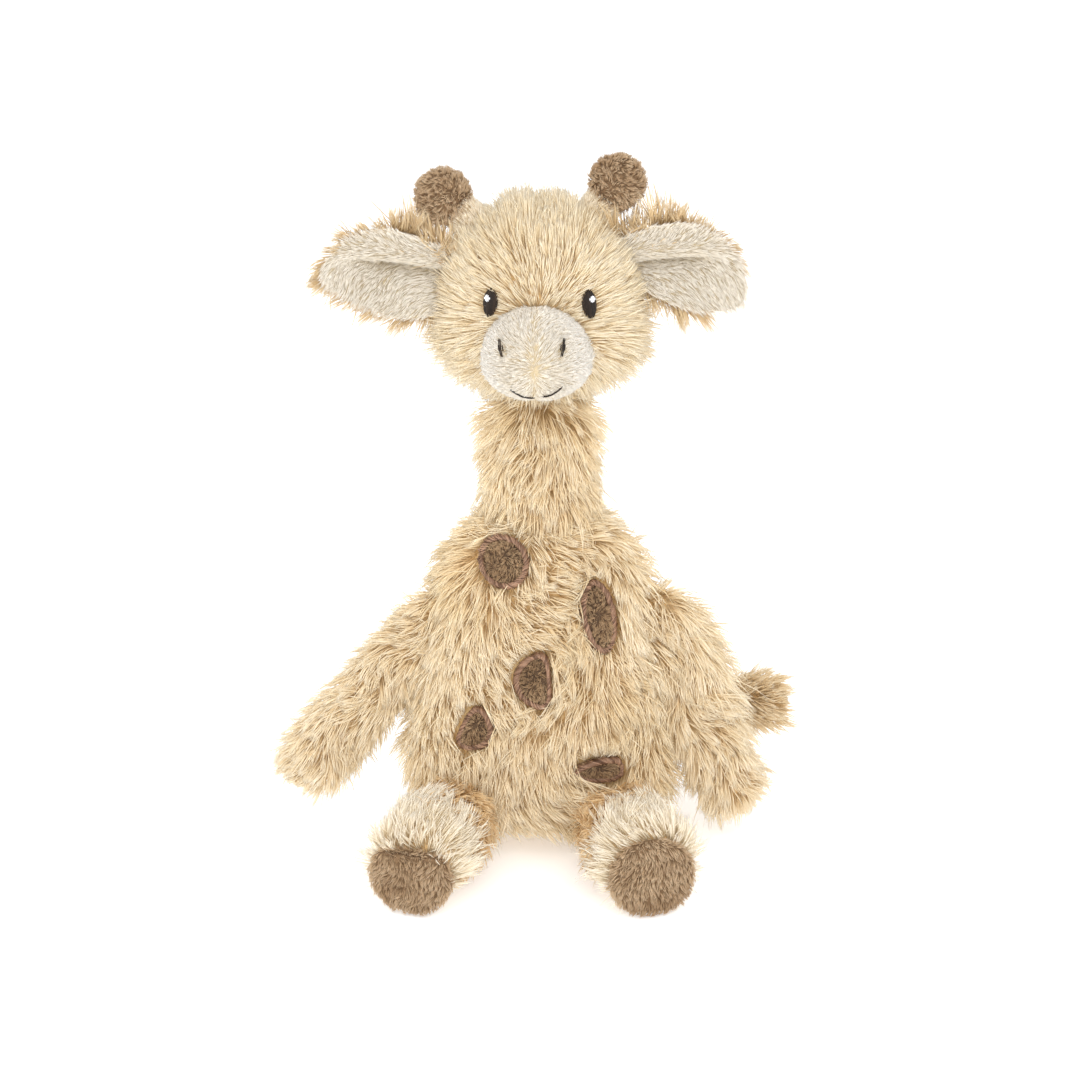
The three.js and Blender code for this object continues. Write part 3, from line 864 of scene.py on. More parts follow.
@dataclass
class Ground:
    """What a pile grows on, how it is combed there and what stays clear of it.

    Guards are kept free: no root stands inside them by more than the tuck, and but for wisps no strand comes
    nearer than clear. Roots up to a margin outside a surface that hides them are left out.
    """

    surface: Surface
    comb: OnCloth
    keep: OnCloth | None = None
    reach: OnCloth | None = None
    tone: OnCloth | None = None
    guards: Sequence["Oval | Disc"] = ()
    hidden_in: Sequence[tuple[Surface, float]] = ()
    wisps: float = 0.04
    tuck: float = 2.4 * MM
    clear: float = 0.2 * MM
    cuts: Numbers = (0.8, 0.75, 0.7, 0.65, 0.0)

    def roots(self, per_square_mm: float, rng: np.random.Generator) -> tuple[Array, Array]:
        """Spreads the roots and leaves out those that don't belong.

        Args:
            per_square_mm: How many on each square millimetre.
            rng: Makes the draws.

        Returns:
            The roots and the normals there.
        """
        roots, normals = self.surface.scatter(per_square_mm, rng)
        kept = np.ones(len(roots), bool)
        if self.keep:
            kept &= self.keep(roots, normals)
        for guard in self.guards:
            kept &= ~guard.holds(roots, -self.tuck)
        roots, normals = roots[kept], normals[kept]
        for surface, margin in self.hidden_in:
            outside = surface.heights(roots) > margin
            roots, normals = roots[outside], normals[outside]
        return roots, normals

    def trim(self, strands: Strands, rng: np.random.Generator) -> Strands:
        """Shortens the strands that lie over a guard, and drops those that still do.

        Args:
            strands: The strands.
            rng: Makes the draws.

        Returns:
            The strands that stay.
        """
        stays = np.ones(len(strands.path), bool)
        spared = rng.random(len(strands.path)) < self.wisps
        for guard in self.guards:
            for share in self.cuts:
                free = strands.path[:, 1:]
                inside = guard.holds(free.reshape(-1, 3), self.clear).reshape(free.shape[:2])
                over = inside.any(axis=1) & ~spared
                if not share:
                    stays &= ~over
                    break
                root = strands.path[over, :1]
                strands.path[over] = root + (strands.path[over] - root) * share
        return strands.part(stays)


@dataclass(frozen=True)
class Coat:
    """How one pile stands on its cloth, with angles in degrees from the cloth.

    Strands stand in locks whose tips draw together. Jitter scales how much they differ, a spread is a share
    of the length, and the unruly share stands loose of its locks.
    """

    finish: PileFinish
    length: float
    per_square_mm: float
    radius: float
    lift: Band
    lock: float
    gather: float = 0.7
    stray: float = 16.0
    swirl: float = 22.0
    swirl_size: float = 14 * MM
    droop: float = 0.1
    unruly: float = 0.1
    mottle: float = 0.11
    jitter: float = 1.0
    shares: Numbers = (0.0, 0.4, 0.75, 1.0)
    profile: Numbers = (1.0, 1.0, 0.72, 0.0)
    middle_tone: float = 0.5
    thickness: Band = (0.75, 1.2)
    floor_gap: Band = (0.2 * MM, 0.8 * MM)
    fewest_locks: int = 8
    draw: float = 1.4
    lock_lift: float = 7.0
    lock_spread: float = 0.16
    lock_lengths: Band = (0.6, 1.4)
    own_turn: float = 6.0
    own_lift: float = 5.0
    own_spread: float = 0.1
    own_lengths: Band = (0.6, 1.35)
    loose_turn: float = 5.0
    loose_lift: float = 12.0
    loose_gather: float = 0.15

    def bend(self, roots: Array, normals: Array, lay: Array, length: Array, lift: Array) -> Array:
        """Bends each strand over from the cloth.

        Args:
            roots: Where the strands start.
            normals: The normals there.
            lay: The comb's directions there.
            length: Each strand's length.
            lift: Angles added to the coat's own.

        Returns:
            A path for each strand.
        """
        middle, tip = (np.radians(angle + lift)[:, None] for angle in self.lift)
        half = length[:, None] / 2
        knee = roots + half * (lay * np.cos(middle) + normals * np.sin(middle))
        end = knee + half * (lay * np.cos(tip) + normals * np.sin(tip)) + DOWN * self.droop * length[:, None]
        share = np.array(self.shares)[None, :, None]
        rest = 1 - share
        return rest**2 * roots[:, None] + 2 * share * rest * knee[:, None] + share**2 * end[:, None]

    def grow(self, ground: Ground, seed: int) -> Strands:
        """Grows the pile.

        Args:
            ground: The cloth, its comb and what stays clear.
            seed: Starts the draws.

        Returns:
            The strands.
        """
        rng = np.random.default_rng(seed)
        roots, normals = ground.roots(self.per_square_mm, rng)
        count = len(roots)
        locks = max(self.fewest_locks, int(count / self.per_square_mm * SQUARE_MM / (self.lock * self.lock)))
        leaders = rng.choice(count, size=min(locks, count), replace=False)
        tree = KDTree(len(leaders))
        for i, leader in enumerate(leaders):
            tree.insert(roots[leader], i)
        tree.balance()
        lock = np.array([tree.find(root)[1] for root in roots])
        swirl = np.radians(self.swirl) * Drift(seed + 1, self.swirl_size).at(roots)
        lock_turn = np.radians(self.stray) * rng.normal(size=len(leaders))
        lock_lift = self.lock_lift * self.jitter * rng.normal(size=len(leaders))
        lock_length = 1 + self.lock_spread * self.jitter * rng.normal(size=len(leaders))
        lock_tone = self.mottle * rng.normal(size=len(leaders))
        lay = turned(along_cloth(ground.comb(roots, normals), normals), normals, swirl + lock_turn[lock])
        reach = ground.reach(roots, normals) if ground.reach else 1.0
        length = self.length * np.clip(lock_length, *self.lock_lengths)[lock] * reach
        centre = self.bend(roots[leaders], normals[leaders], lay[leaders], length[leaders], lock_lift)
        own_turn = np.radians(self.own_turn) * self.jitter * rng.normal(size=count)
        own_lift = lock_lift[lock] + self.own_lift * self.jitter * rng.normal(size=count)
        loose = rng.random(count) < self.unruly
        own_turn[loose] *= self.loose_turn
        own_lift[loose] += self.loose_lift
        length = length * np.clip(1 + self.own_spread * rng.normal(size=count), *self.own_lengths)
        path = self.bend(roots, normals, turned(lay, normals, own_turn), length, own_lift)
        hold = np.where(loose, self.loose_gather, 1.0)[:, None, None]
        pull = self.gather * np.array(self.shares)[None, :, None] ** self.draw * hold
        path = path + (centre[lock] - path) * pull
        tone = ground.tone(roots, normals) if ground.tone else self.middle_tone
        tone = tone + lock_tone[lock] + self.mottle * rng.normal(size=count)
        strands = Strands(path, normals, self.radius * rng.uniform(*self.thickness, count), tone)
        strands = ground.trim(strands, rng)
        low, high = self.floor_gap
        floor = (low + (high - low) * rng.random(len(strands.path)))[:, None]
        strands.path[:, :, 2] = np.maximum(strands.path[:, :, 2], floor)
        return strands


@dataclass(frozen=True)
class ShortCoat(Coat):
    """Short pile, whose strands need only three points."""

    gather: float = 0.3
    swirl_size: float = 9 * MM
    droop: float = 0.02
    shares: Numbers = (0.0, 0.55, 1.0)
    profile: Numbers = (1.0, 0.8, 0.0)


def finish_piece(
    piece: Piece, body: str, material: Material, slot: str, replaces: Sequence[str] = ()
) -> None:
    """Dresses a piece, lets it ride on its body and reports it.

    Args:
        piece: The object.
        body: The CAD body it moves with.
        material: Its material.
        slot: The record's material slot; not used.
        replaces: The CAD nodes that it stands for.
    """
    piece.data.materials.clear()
    piece.data.materials.append(material)
    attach(piece, body)
    if replaces:
        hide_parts(*replaces)
    log.info("%s: %d faces on %s", piece.name, len(piece.data.polygons), body)


def dress(name: str, ground: Ground, coat: Coat, seed: int, body: str) -> None:
    """Grows a pile and makes its pieces, as many panels round the form as their size needs.

    Every other strand of a long coat is of a plainer undercoat, with one point fewer.

    Args:
        name: The start of the pieces' names.
        ground: The cloth it grows on.
        coat: How it stands.
        seed: Starts the draws.
        body: The CAD body it moves with.
    """
    strands = coat.grow(ground, seed)
    away = strands.path[:, 0] - ground.surface.centre
    order = np.argsort(np.arctan2(away[:, 1], away[:, 0]))
    layers = [(name, strands, coat.profile, order)]
    if not isinstance(coat, ShortCoat):
        points = [0, 2, 3]
        under = Strands(strands.path[:, points], strands.out, strands.radius, strands.tone)
        profile = [coat.profile[point] for point in points]
        layers = [(name, strands, coat.profile, order[::2]), (f"{name}_under", under, profile, order[1::2])]
    for start, grown, profile, chosen in layers:
        panels = math.ceil(len(chosen) * grown.triangles() / PANEL_TRIANGLES)
        for number, share in enumerate(np.array_split(chosen, panels), start=1):
            piece = strand_mesh(f"{start}_{number}" if panels > 1 else start, grown.part(share), profile)
            finish_piece(piece, body, coat.finish.material(), coat.finish.slot)


def joint_place(name: str) -> Array:
    """Where a joint's axis stands."""
    return next(np.array(joint["pos_m"], float) for joint in frame["joints"] if joint["name"] == name)


def node_centre(name: str) -> Vector:
    """The middle of a CAD node's box."""
    low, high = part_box(name)
    return Vector((low + high) / 2)


@dataclass
class Spot:
    """A sewn-on spot: short pile inside a satin-stitched border.

    A stitch crosses the border in steps, each a share of its width outwards and a rise over the cloth.
    """

    name: str
    outline: Oval
    seed: int
    border: float = 1.6 * MM
    tucked: float = 0.6
    sunk: float = 2.5 * MM
    dome: float = 0.7 * MM
    cloth_thickness: float = 0.6 * MM
    spokes: int = 36
    rings: Numbers = (1.0, 0.85, 0.6, 0.3)
    thread: float = 0.24 * MM
    thread_spacing: float = 1.7
    thread_profile: Numbers = (0.6, 1.0, 1.0, 1.0, 0.6)
    thread_sides: int = 5
    thread_tone: float = 0.45
    thread_mottle: float = 0.4
    stitch_out: Numbers = (0.3, 0.0, -0.45, -0.88, -1.0)
    stitch_rise: Numbers = (-1.3 * MM, 1.3 * MM, 1.7 * MM, 1.4 * MM, 0.4 * MM)
    stitch_slant: int = 2
    stitch_wander: float = 0.02
    stitch_jitter: float = 0.08 * MM
    droop: float = 0.35
    turn: float = 0.5
    turn_size: float = 5 * MM
    middle_tone: float = 0.36
    rubbed_tone: float = 0.2
    border_tone: Fade = Fade(0.34, 0.3, 0.9)
    coat: Coat = ShortCoat(
        SPOT_PILE, length=2.4 * MM, per_square_mm=8.0, radius=0.11 * MM, lift=(52, 22), lock=0.9 * MM,
        stray=26, swirl=30, swirl_size=6 * MM, unruly=0.2, mottle=0.12,
    )

    def cloth(self, torso: Surface) -> Piece:
        """Models the panel under the pile as a low dome on the torso.

        Args:
            torso: The torso's outer surface.

        Returns:
            The panel.
        """
        points, faces = [], []
        middle = np.array(self.outline.centre)
        rim = self.outline.outline(self.spokes, -self.border * self.tucked)
        for share in self.rings:
            places, normals = torso.front(middle + (rim - middle) * share, self.sunk)
            points.extend(places + normals * self.dome * (1 - share**2))
        points.append(torso.front(middle[None], self.sunk - self.dome)[0][0])
        last = (len(self.rings) - 1) * self.spokes
        for ring in range(0, last, self.spokes):
            for i in range(self.spokes):
                low, nxt = ring + i, ring + (i + 1) % self.spokes
                faces.append((low, nxt, nxt + self.spokes, low + self.spokes))
        faces.extend((last + i, last + (i + 1) % self.spokes, len(points) - 1) for i in range(self.spokes))
        mesh = bpy.data.meshes.new(self.name)
        mesh.from_pydata([tuple(p) for p in points], [], faces)
        piece = new_piece(f"spot_{self.name}_cloth", mesh)
        apply_modifier(piece, "SOLIDIFY", thickness=self.cloth_thickness, offset=-1.0)
        refine(piece, 1)
        bpy.ops.object.shade_smooth()
        return piece

    def stitches(self, torso: Surface) -> Strands:
        """Lays satin stitches side by side across the border.

        Args:
            torso: The torso's outer surface.

        Returns:
            The threads.
        """
        length = FULL_TURN * math.sqrt((self.outline.half_width**2 + self.outline.half_height**2) / 2)
        count = int(length / (self.thread_spacing * self.thread))
        rng = np.random.default_rng(self.seed)
        middle = np.array(self.outline.centre)
        rows, outs = [], []
        for step, (out, rise) in enumerate(zip(self.stitch_out, self.stitch_rise)):
            ring = self.outline.outline(count, out * self.border)
            ring = middle + (ring - middle) * (1 + self.stitch_wander * rng.normal(size=(count, 1)))
            ring = np.roll(ring, self.stitch_slant * (step - len(self.stitch_out) // 2), axis=0)
            places, normals = torso.front(ring, self.sunk)
            rows.append(places + normals * (rise + self.stitch_jitter * rng.normal(size=(count, 1))))
            outs.append(normals)
        tone = self.thread_tone + self.thread_mottle * rng.normal(size=count)
        return Strands(np.stack(rows, axis=1), outs[0], np.full(count, self.thread), tone)

    def build(self, torso: Surface) -> None:
        """Makes the panel, its pile and its border.

        Args:
            torso: The torso's outer surface.
        """
        node = f"spot_{self.name}"
        cloth = self.cloth(torso)
        finish_piece(cloth, "torso", SPOT_PILE.backing(), SPOT_PILE.slot, [node])
        surface = Surface(cloth)
        drift = Drift(self.seed, self.turn_size)

        def comb(points: Array, normals: Array) -> Array:
            """Brushes the short pile out to the border and a little down, with a slow turn."""
            turn = self.turn * drift.at(points)[:, None] * UP
            return self.droop * DOWN + unit(points - surface.centre) + turn

        def tone(points: Array, normals: Array) -> Array:
            """Paler towards the border, where the pile lies over, and in rubbed patches."""
            away = np.abs(points - surface.centre) / (self.outline.half_width, 1.0, self.outline.half_height)
            rubbed = self.rubbed_tone * drift.at(points + 2 * self.turn_size)
            return self.middle_tone + rubbed + self.border_tone.at(np.hypot(away[:, 0], away[:, 2]))

        ground = Ground(surface, comb, keep=lambda points, normals: normals[:, 1] < -0.1, tone=tone)
        dress(f"{node}_pile", ground, self.coat, self.seed, "torso")
        border = strand_mesh(f"{node}_stitches", self.stitches(torso), self.thread_profile, self.thread_sides)
        finish_piece(border, "torso", SATIN_STITCH.material(), SATIN_STITCH.slot, [f"{node}_border"])


def spot(name: str, centre: Flat, half: Flat, turn: float, bend: float, seed: int) -> Spot:
    """A spot from sizes in millimetres."""
    outline = Oval((centre[0] * MM, centre[1] * MM), half[0] * MM, half[1] * MM, turn, bend)
    return Spot(name, outline, seed)


SPOTS = (
    spot("chest", (-12.8, 106.8), (8.7, 8.5), 0, 0, 11),
    spot("side", (20.7, 87.7), (5.7, 12.4), 12, 0, 12),
    spot("middle", (-1.3, 67.6), (6.4, 9.5), 4, 0.22, 13),
    spot("flank", (-23.1, 49.0), (5.4, 8.1), -26, -0.2, 14),
    spot("lap", (22.3, 33.7), (8.6, 4.6), -4, 0.2, 15),
)


class Skins:
    """The stuffed covers under the pile, made first because each pile stays clear of its neighbours."""

    def __init__(self) -> None:
        """Measures the covers that embroidery and spots are sewn on."""
        self.sewing = Sewing()
        self.pieces: dict[str, Piece] = {}
        self.surfaces: dict[str, Surface] = {}
        self.outer_torso = self.measure("torso_cover")
        self.outer_head = self.measure("head_cover")

    def measure(self, node: str, voxel: float = 2 * MM) -> Surface:
        """The outer surface of a node's cover, kept only as arrays."""
        piece = self.sewing.cover(f"{node}_outer", [node], 0.0, voxel)
        surface = Surface(piece)
        bpy.data.objects.remove(piece)
        return surface

    def keep(self, piece: Piece, body: str, finish: PileFinish, nodes: Sequence[str]) -> None:
        """Dresses a cover and keeps it for the piles.

        Args:
            piece: The cover.
            body: The CAD body it moves with.
            finish: The pile that grows on it.
            nodes: The CAD nodes that it stands for.
        """
        finish_piece(piece, body, finish.backing(), finish.slot, nodes)
        self.pieces[piece.name] = piece
        self.surfaces[piece.name] = Surface(piece)

    def add(
        self, name: str, nodes: Sequence[str], body: str, fill: Fill | None, inset: float = 4.6 * MM,
        voxel: float = 2.5 * MM, finish: PileFinish = LONG_PILE, convex: bool = True,
    ) -> None:
        """Makes one cover.

        Args:
            name: The piece's name.
            nodes: The CAD nodes that it stands for, the cover first.
            body: The CAD body it moves with.
            fill: How tightly it is stuffed, if it is; not used.
            inset: The depth of its pile.
            voxel: The size of its cells.
            finish: The pile that grows on it.
            convex: True where the form has no hollow.
        """
        piece = self.sewing.cover(name, nodes[:1] if convex else nodes, inset, voxel, convex)
        piece.name = name
        self.keep(piece, body, finish, nodes)

    def reshape(self, name: str, move: Callable[[Vertex], Vector]) -> None:
        """Moves each point of a cover.

        Args:
            name: The cover.
            move: Gives each point's new place.
        """
        piece = self.pieces[name]
        for vertex in piece.data.vertices:
            vertex.co = move(vertex)
        piece.data.update()
        self.surfaces[name] = Surface(piece)

    def widen(self, name: str, share: float) -> None:
        """Widens a cover in X and Z about its middle, to a share of its size."""
        middle = self.surfaces[name].centre

        def move(vertex: Vertex) -> Vector:
            """Moves a point away from the middle."""
            x, y, z = vertex.co
            return Vector((middle[0] + (x - middle[0]) * share, y, middle[2] + (z - middle[2]) * share))

        self.reshape(name, move)

    def press(self, name: str, height: float, left: float = 0.12) -> None:
        """Presses the top of a cover down to a height, leaving a share of what stood over it."""

        def move(vertex: Vertex) -> Vector:
            """Moves a point down where it stands over the height."""
            x, y, z = vertex.co
            return Vector((x, y, min(z, height + left * (z - height))))

        self.reshape(name, move)

    def swell(self, name: str, middle: Vector, size: float, push: Vector) -> None:
        """Fills a cover out at one place.

        Args:
            name: The cover.
            middle: The place.
            size: How far from it the cover is still moved.
            push: How far the cover is moved there.
        """

        def move(vertex: Vertex) -> Vector:
            """Moves what faces the push, most of all near the middle."""
            outwards = max(0.0, vertex.normal.dot(push.normalized()))
            return vertex.co + push * outwards * math.exp(-(((vertex.co - middle).length / size) ** 2))

        self.reshape(name, move)

    def cut(self) -> None:
        """Makes every cover, in the order of the body."""
        fine = {"voxel": 1.5 * MM}
        for part, body, fill, cut in (
            ("torso", "torso", Fill.SOFT, {"voxel": 3 * MM}),
            ("neck", "neck", Fill.SOFT, {}),
            ("head", "head", Fill.FIRM, {}),
            ("muzzle", "head", Fill.FIRM, {"inset": 1.7 * MM, "finish": SHORT_PILE, **fine}),
            ("tail", "tail", Fill.SLACK, {"inset": 2.4 * MM, "finish": SHADED_TAIL_PILE, "convex": False, **fine}),
        ):
            self.add(f"{part}_skin", [f"{part}_cover", f"{part}_filling"], body, fill, **cut)
        for side in Side:
            tag = side.tag
            for limb, cut in (("arm", {"inset": 3.8 * MM}), ("leg", {})):
                names = [f"{limb}_{layer}_{tag}" for layer in ("cover", "filling")]
                self.add(f"{limb}_{tag}_skin", names, f"{limb}_{tag}", Fill.SOFT, voxel=2 * MM, **cut)
            sole = f"sole_{tag}_skin"
            if side is Side.LEFT:
                upper_arm, outwards = Vector((50 * MM, 2 * MM, 74 * MM)), Vector((7 * MM, 0, 2 * MM))
                self.swell("arm_left_skin", upper_arm, size=26 * MM, push=outwards)
            brown = {"voxel": 1 * MM, "finish": BROWN_PILE}
            self.add(sole, [f"sole_{tag}"], f"leg_{tag}", None, inset=0.8 * MM, **brown)
            if side is Side.LEFT:
                self.widen(sole, share=1.07)
            else:
                self.widen(sole, share=1.05)
                self.press(sole, height=21.6 * MM)
            self.keep(Stalk().cloth(tag), "head", PAINTED_LIGHT_STALK_PILE, [f"horn_stalk_{tag}"])
            knob = [f"horn_knob_{tag}", f"horn_filling_{tag}"]
            self.add(f"horn_knob_{tag}_skin", knob, "head", Fill.FIRM, inset=0.9 * MM, **brown)
            for leaf in (EAR_BACK, EAR_LINING):
                self.keep(leaf.cloth(side), f"ear_{tag}", leaf.finish, [f"{leaf.name}_{tag}"])


@dataclass
class Torso:
    """The pear-shaped body: long pile hanging down, locks parting round the spots."""

    skins: Skins
    spread: float = 0.2
    shoulder_spread: Fade = Fade(0.5, 98 * MM, 118 * MM)
    shoulder_rise: Fade = Fade(0.3, 98 * MM, 118 * MM)
    seam_spread: float = 0.6
    seam_growth: float = 0.75
    seam_middle: float = 102 * MM
    seam_height: float = 11 * MM
    seam_sides: Fade = Fade(1.0, 14 * MM, 26 * MM)
    seam_right: float = 0.5
    belly_growth: Fade = Fade(0.18, 60 * MM, 25 * MM)
    shoulder_trim: Fade = Fade(-0.2, 88 * MM, 108 * MM)
    hem_trim: Fade = Fade(-0.45, 24 * MM, 4 * MM)
    seat_trim: Fade = Fade(-0.75, 0.5, 0.95)
    middle_tone: float = 0.52
    patch_tone: float = 0.12
    patch_size: float = 22 * MM
    hem_tone: Fade = Fade(-0.12, 30 * MM, 5 * MM)
    coat: Coat = Coat(
        LONG_PILE, length=11.5 * MM, per_square_mm=1.36, radius=0.2 * MM, lift=(44, 14), lock=2.4 * MM,
        gather=0.55, stray=22, swirl=42, swirl_size=20 * MM, unruly=0.15,
    )

    def comb(self, points: Array, normals: Array) -> Array:
        """Brushes the pile down, and away from the neck and the arms' seams."""
        height = points[:, 2]
        outwards = self.spread + self.shoulder_spread.at(height) + self.seam_spread * self.drape(points)
        return DOWN * (1 - self.shoulder_rise.at(height))[:, None] + unit(points * LEVEL) * outwards[:, None]

    def drape(self, points: Array) -> Array:
        """How near each point lies to the place where the pile falls over the arms' seams."""
        beside = np.where(points[:, 0] > 0, 1.0, self.seam_right) * self.seam_sides.at(np.abs(points[:, 0]))
        return beside * hump(points[:, 2], self.seam_middle, self.seam_height)

    def reach(self, points: Array, normals: Array) -> Array:
        """The pile is longest low on the belly and short under the seat."""
        height = points[:, 2]
        change = self.belly_growth.at(height) + self.shoulder_trim.at(height) + self.hem_trim.at(height)
        return (1 + change + self.seam_growth * self.drape(points)) * (1 + self.seat_trim.at(-normals[:, 2]))

    def tone(self, points: Array, normals: Array) -> Array:
        """Paler on the breast than at the hem, with paler and deeper patches at random."""
        patches = self.patch_tone * Drift(5, self.patch_size).at(points)
        return self.middle_tone + patches + self.hem_tone.at(points[:, 2])

    def build(self) -> None:
        """Makes the pile and the spots."""
        skins = self.skins
        guards = []
        for each in SPOTS:
            depth = skins.outer_torso.front(np.array([each.outline.centre]), each.sunk)[0][0, 1]
            guards.append(replace(each.outline, slope=EYE_SLOPE, depth=depth))
        limbs = [f"{limb}_{side.tag}_skin" for limb in ("arm", "leg") for side in Side]
        hidden = [(skins.surfaces[limb], -1 * MM) for limb in limbs] + [(skins.surfaces["neck_skin"], 0.0)]
        ground = Ground(
            skins.surfaces["torso_skin"], self.comb, reach=self.reach, tone=self.tone, guards=guards,
            hidden_in=hidden, clear=0.4 * MM, wisps=0.0,
        )
        dress("torso_pile", ground, self.coat, 101, "torso")
        for each in SPOTS:
            each.build(skins.outer_torso)


# The long fur that neck, arms, ears and tail share, each with its own length and lie.
SHAGGY = Coat(
    LONG_PILE, length=11 * MM, per_square_mm=1.85, radius=0.195 * MM, lift=(44, 16), lock=2.2 * MM,
    gather=0.6, stray=18, swirl=26, unruly=0.15,
)


@dataclass
class Neck:
    """The neck: shaggy pile hanging down over the shoulders."""

    skins: Skins
    spread: float = 1.1
    shaft_spread: Fade = Fade(-0.75, 112 * MM, 126 * MM)
    chin_spread: Fade = Fade(0.6, 146 * MM, 158 * MM)
    middle_tone: float = 0.44
    # Painted shade, darker towards the chin, where the head shades the neck.
    chin_tone: Fade = Fade(-0.12, 145 * MM, 165 * MM)
    chin_growth: Fade = Fade(0.35, 142 * MM, 156 * MM)
    seam: Fade = Fade(1.0, 132 * MM, 118 * MM)
    seam_growth: float = 0.35
    left_growth: Fade = Fade(0.25, 6 * MM, 14 * MM)
    spot_trim: Fade = Fade(-0.75, 0.1, 0.6)
    spot_width: float = 10 * MM
    coat: Coat = SHAGGY

    def comb(self, points: Array, normals: Array) -> Array:
        """Brushes the pile down and out."""
        flare = self.spread + self.shaft_spread.at(points[:, 2]) + self.chin_spread.at(points[:, 2])
        return DOWN + flare[:, None] * unit(points * LEVEL)

    def tone(self, points: Array, normals: Array) -> Array:
        """Evenly pale, with painted shade darkening it towards the chin."""
        return self.middle_tone + self.chin_tone.at(points[:, 2])

    def reach(self, points: Array, normals: Array) -> Array:
        """The lowest and highest locks are long and hide the seams, but stay short over the chest spot."""
        x, height = points[:, 0], points[:, 2]
        spot_trim = self.spot_trim.at(-normals[:, 1]) * hump(x, SPOTS[0].outline.centre[0], self.spot_width)
        growth = self.seam_growth + self.left_growth.at(x) + spot_trim
        return 1 + growth * self.seam.at(height) + self.chin_growth.at(height)

    def build(self) -> None:
        """Makes the pile."""
        surfaces = self.skins.surfaces
        ground = Ground(
            surfaces["neck_skin"], self.comb, reach=self.reach, tone=self.tone,
            hidden_in=[(surfaces["torso_skin"], -1 * MM), (surfaces["head_skin"], -1 * MM)],
        )
        dress("neck_pile", ground, self.coat, 201, "neck")


@dataclass
class Head:
    """The round head: pile brushed away from the muzzle all round, with two tufts on the crown."""

    skins: Skins
    nose: Place = (-1.2 * MM, -52 * MM, 181 * MM)
    nose_flatness: Place = (1.0, 0.3, 1.0)
    back: Fade = Fade(1.0, -6 * MM, 18 * MM)
    back_spread: float = 0.25
    nose_length: float = 0.6
    face_growth: Fade = Fade(0.4, 18 * MM, 34 * MM)
    low: Fade = Fade(1.0, 200 * MM, 178 * MM)
    cheek_growth: Fade = Fade(0.6, 12 * MM, 26 * MM)
    jaw_growth: Fade = Fade(0.4, 176 * MM, 162 * MM)
    crown: Fade = Fade(1.0, 208 * MM, 220 * MM)
    crown_trim: float = 0.15
    tufts: Band = (-7 * MM, 10 * MM)
    tuft_width: float = 6 * MM
    tuft_growth: float = 0.4
    stalk_length: float = 0.55
    stalk_growth: Fade = Fade(0.45, 7 * MM, 15 * MM)
    middle_tone: float = 0.62
    patch_tone: float = 0.1
    patch_size: float = 16 * MM
    # Painted shade: darker low towards the chin and on the cheeks at the head's sides, where the light falls
    # off.
    chin_tone: Fade = Fade(-0.15, 172 * MM, 160 * MM)
    cheek_tone: Fade = Fade(-0.45, 20 * MM, 32 * MM)
    behind: Fade = Fade(1.0, 0.0, 20 * MM)
    behind_tone: float = -0.45
    eye_half_width: float = 2.4 * MM
    eye_half_height: float = 4.9 * MM
    eye_tilt: float = 7.0
    eye_centres: tuple[Flat, Flat] = ((16.9 * MM, 197.0 * MM), (-17.0 * MM, 197.5 * MM))
    coat: Coat = Coat(
        HEAD_PILE, length=12 * MM, per_square_mm=2.25, radius=0.175 * MM, lift=(34, 14), lock=1.6 * MM,
        gather=0.42, stray=6, swirl=12, mottle=0.09, jitter=0.7,
    )

    def eyes(self) -> list[Oval]:
        """The two eyes' outlines, left first."""
        return [
            Oval(centre, self.eye_half_width, self.eye_half_height, side.value * self.eye_tilt)
            for side, centre in zip(Side, self.eye_centres)
        ]

    def comb(self, points: Array, normals: Array) -> Array:
        """Brushes away from the nose in front and down behind."""
        away, back = unit(points - np.array(self.nose)), self.back.at(points[:, 1])[:, None]
        outwards = unit(points - self.skins.surfaces["head_skin"].centre)
        return away * (1 - back) + (DOWN + self.back_spread * outwards) * back

    def reach(self, points: Array, normals: Array) -> Array:
        """Short by the muzzle and the eyes, long on the cheeks and crown."""
        height = points[:, 2]
        away = np.linalg.norm((points - np.array(self.nose)) * self.nose_flatness, axis=1)
        cheek = self.low.at(height) * self.cheek_growth.at(np.abs(points[:, 0]))
        tufts = sum(hump(points[:, 0], middle, self.tuft_width) for middle in self.tufts)
        crown = self.crown.at(height) * (self.tuft_growth * tufts - self.crown_trim)
        reach = self.nose_length + self.face_growth.at(away) + cheek + self.jaw_growth.at(height) + crown
        for side in Side:
            stalk = self.skins.surfaces[f"horn_stalk_{side.tag}_skin"].centre
            reach = reach * (self.stalk_length + self.stalk_growth.at(np.linalg.norm(points - stalk, axis=1)))
        return reach

    def tone(self, points: Array, normals: Array) -> Array:
        """Palest on the crown; painted shade darkens the cheeks at the head's sides and the chin; deeper
        behind.
        """
        patches = self.patch_tone * Drift(6, self.patch_size).at(points)
        behind = self.behind.at(points[:, 1])
        front = self.cheek_tone.at(np.abs(points[:, 0])) * (1 - behind) + self.chin_tone.at(points[:, 2])
        return self.middle_tone + patches + front + self.behind_tone * behind

    def build(self) -> None:
        """Makes the pile."""
        surfaces = self.skins.surfaces
        hidden = [(surfaces["muzzle_skin"], 0.8 * MM), (surfaces["neck_skin"], -1 * MM)]
        hidden += [(surfaces[f"horn_stalk_{side.tag}_skin"], 0.4 * MM) for side in Side]
        ground = Ground(
            surfaces["head_skin"], self.comb, reach=self.reach, tone=self.tone, guards=self.eyes(),
            hidden_in=hidden, wisps=0.1, clear=-0.3 * MM,
        )
        dress("head_pile", ground, self.coat, 301, "head")


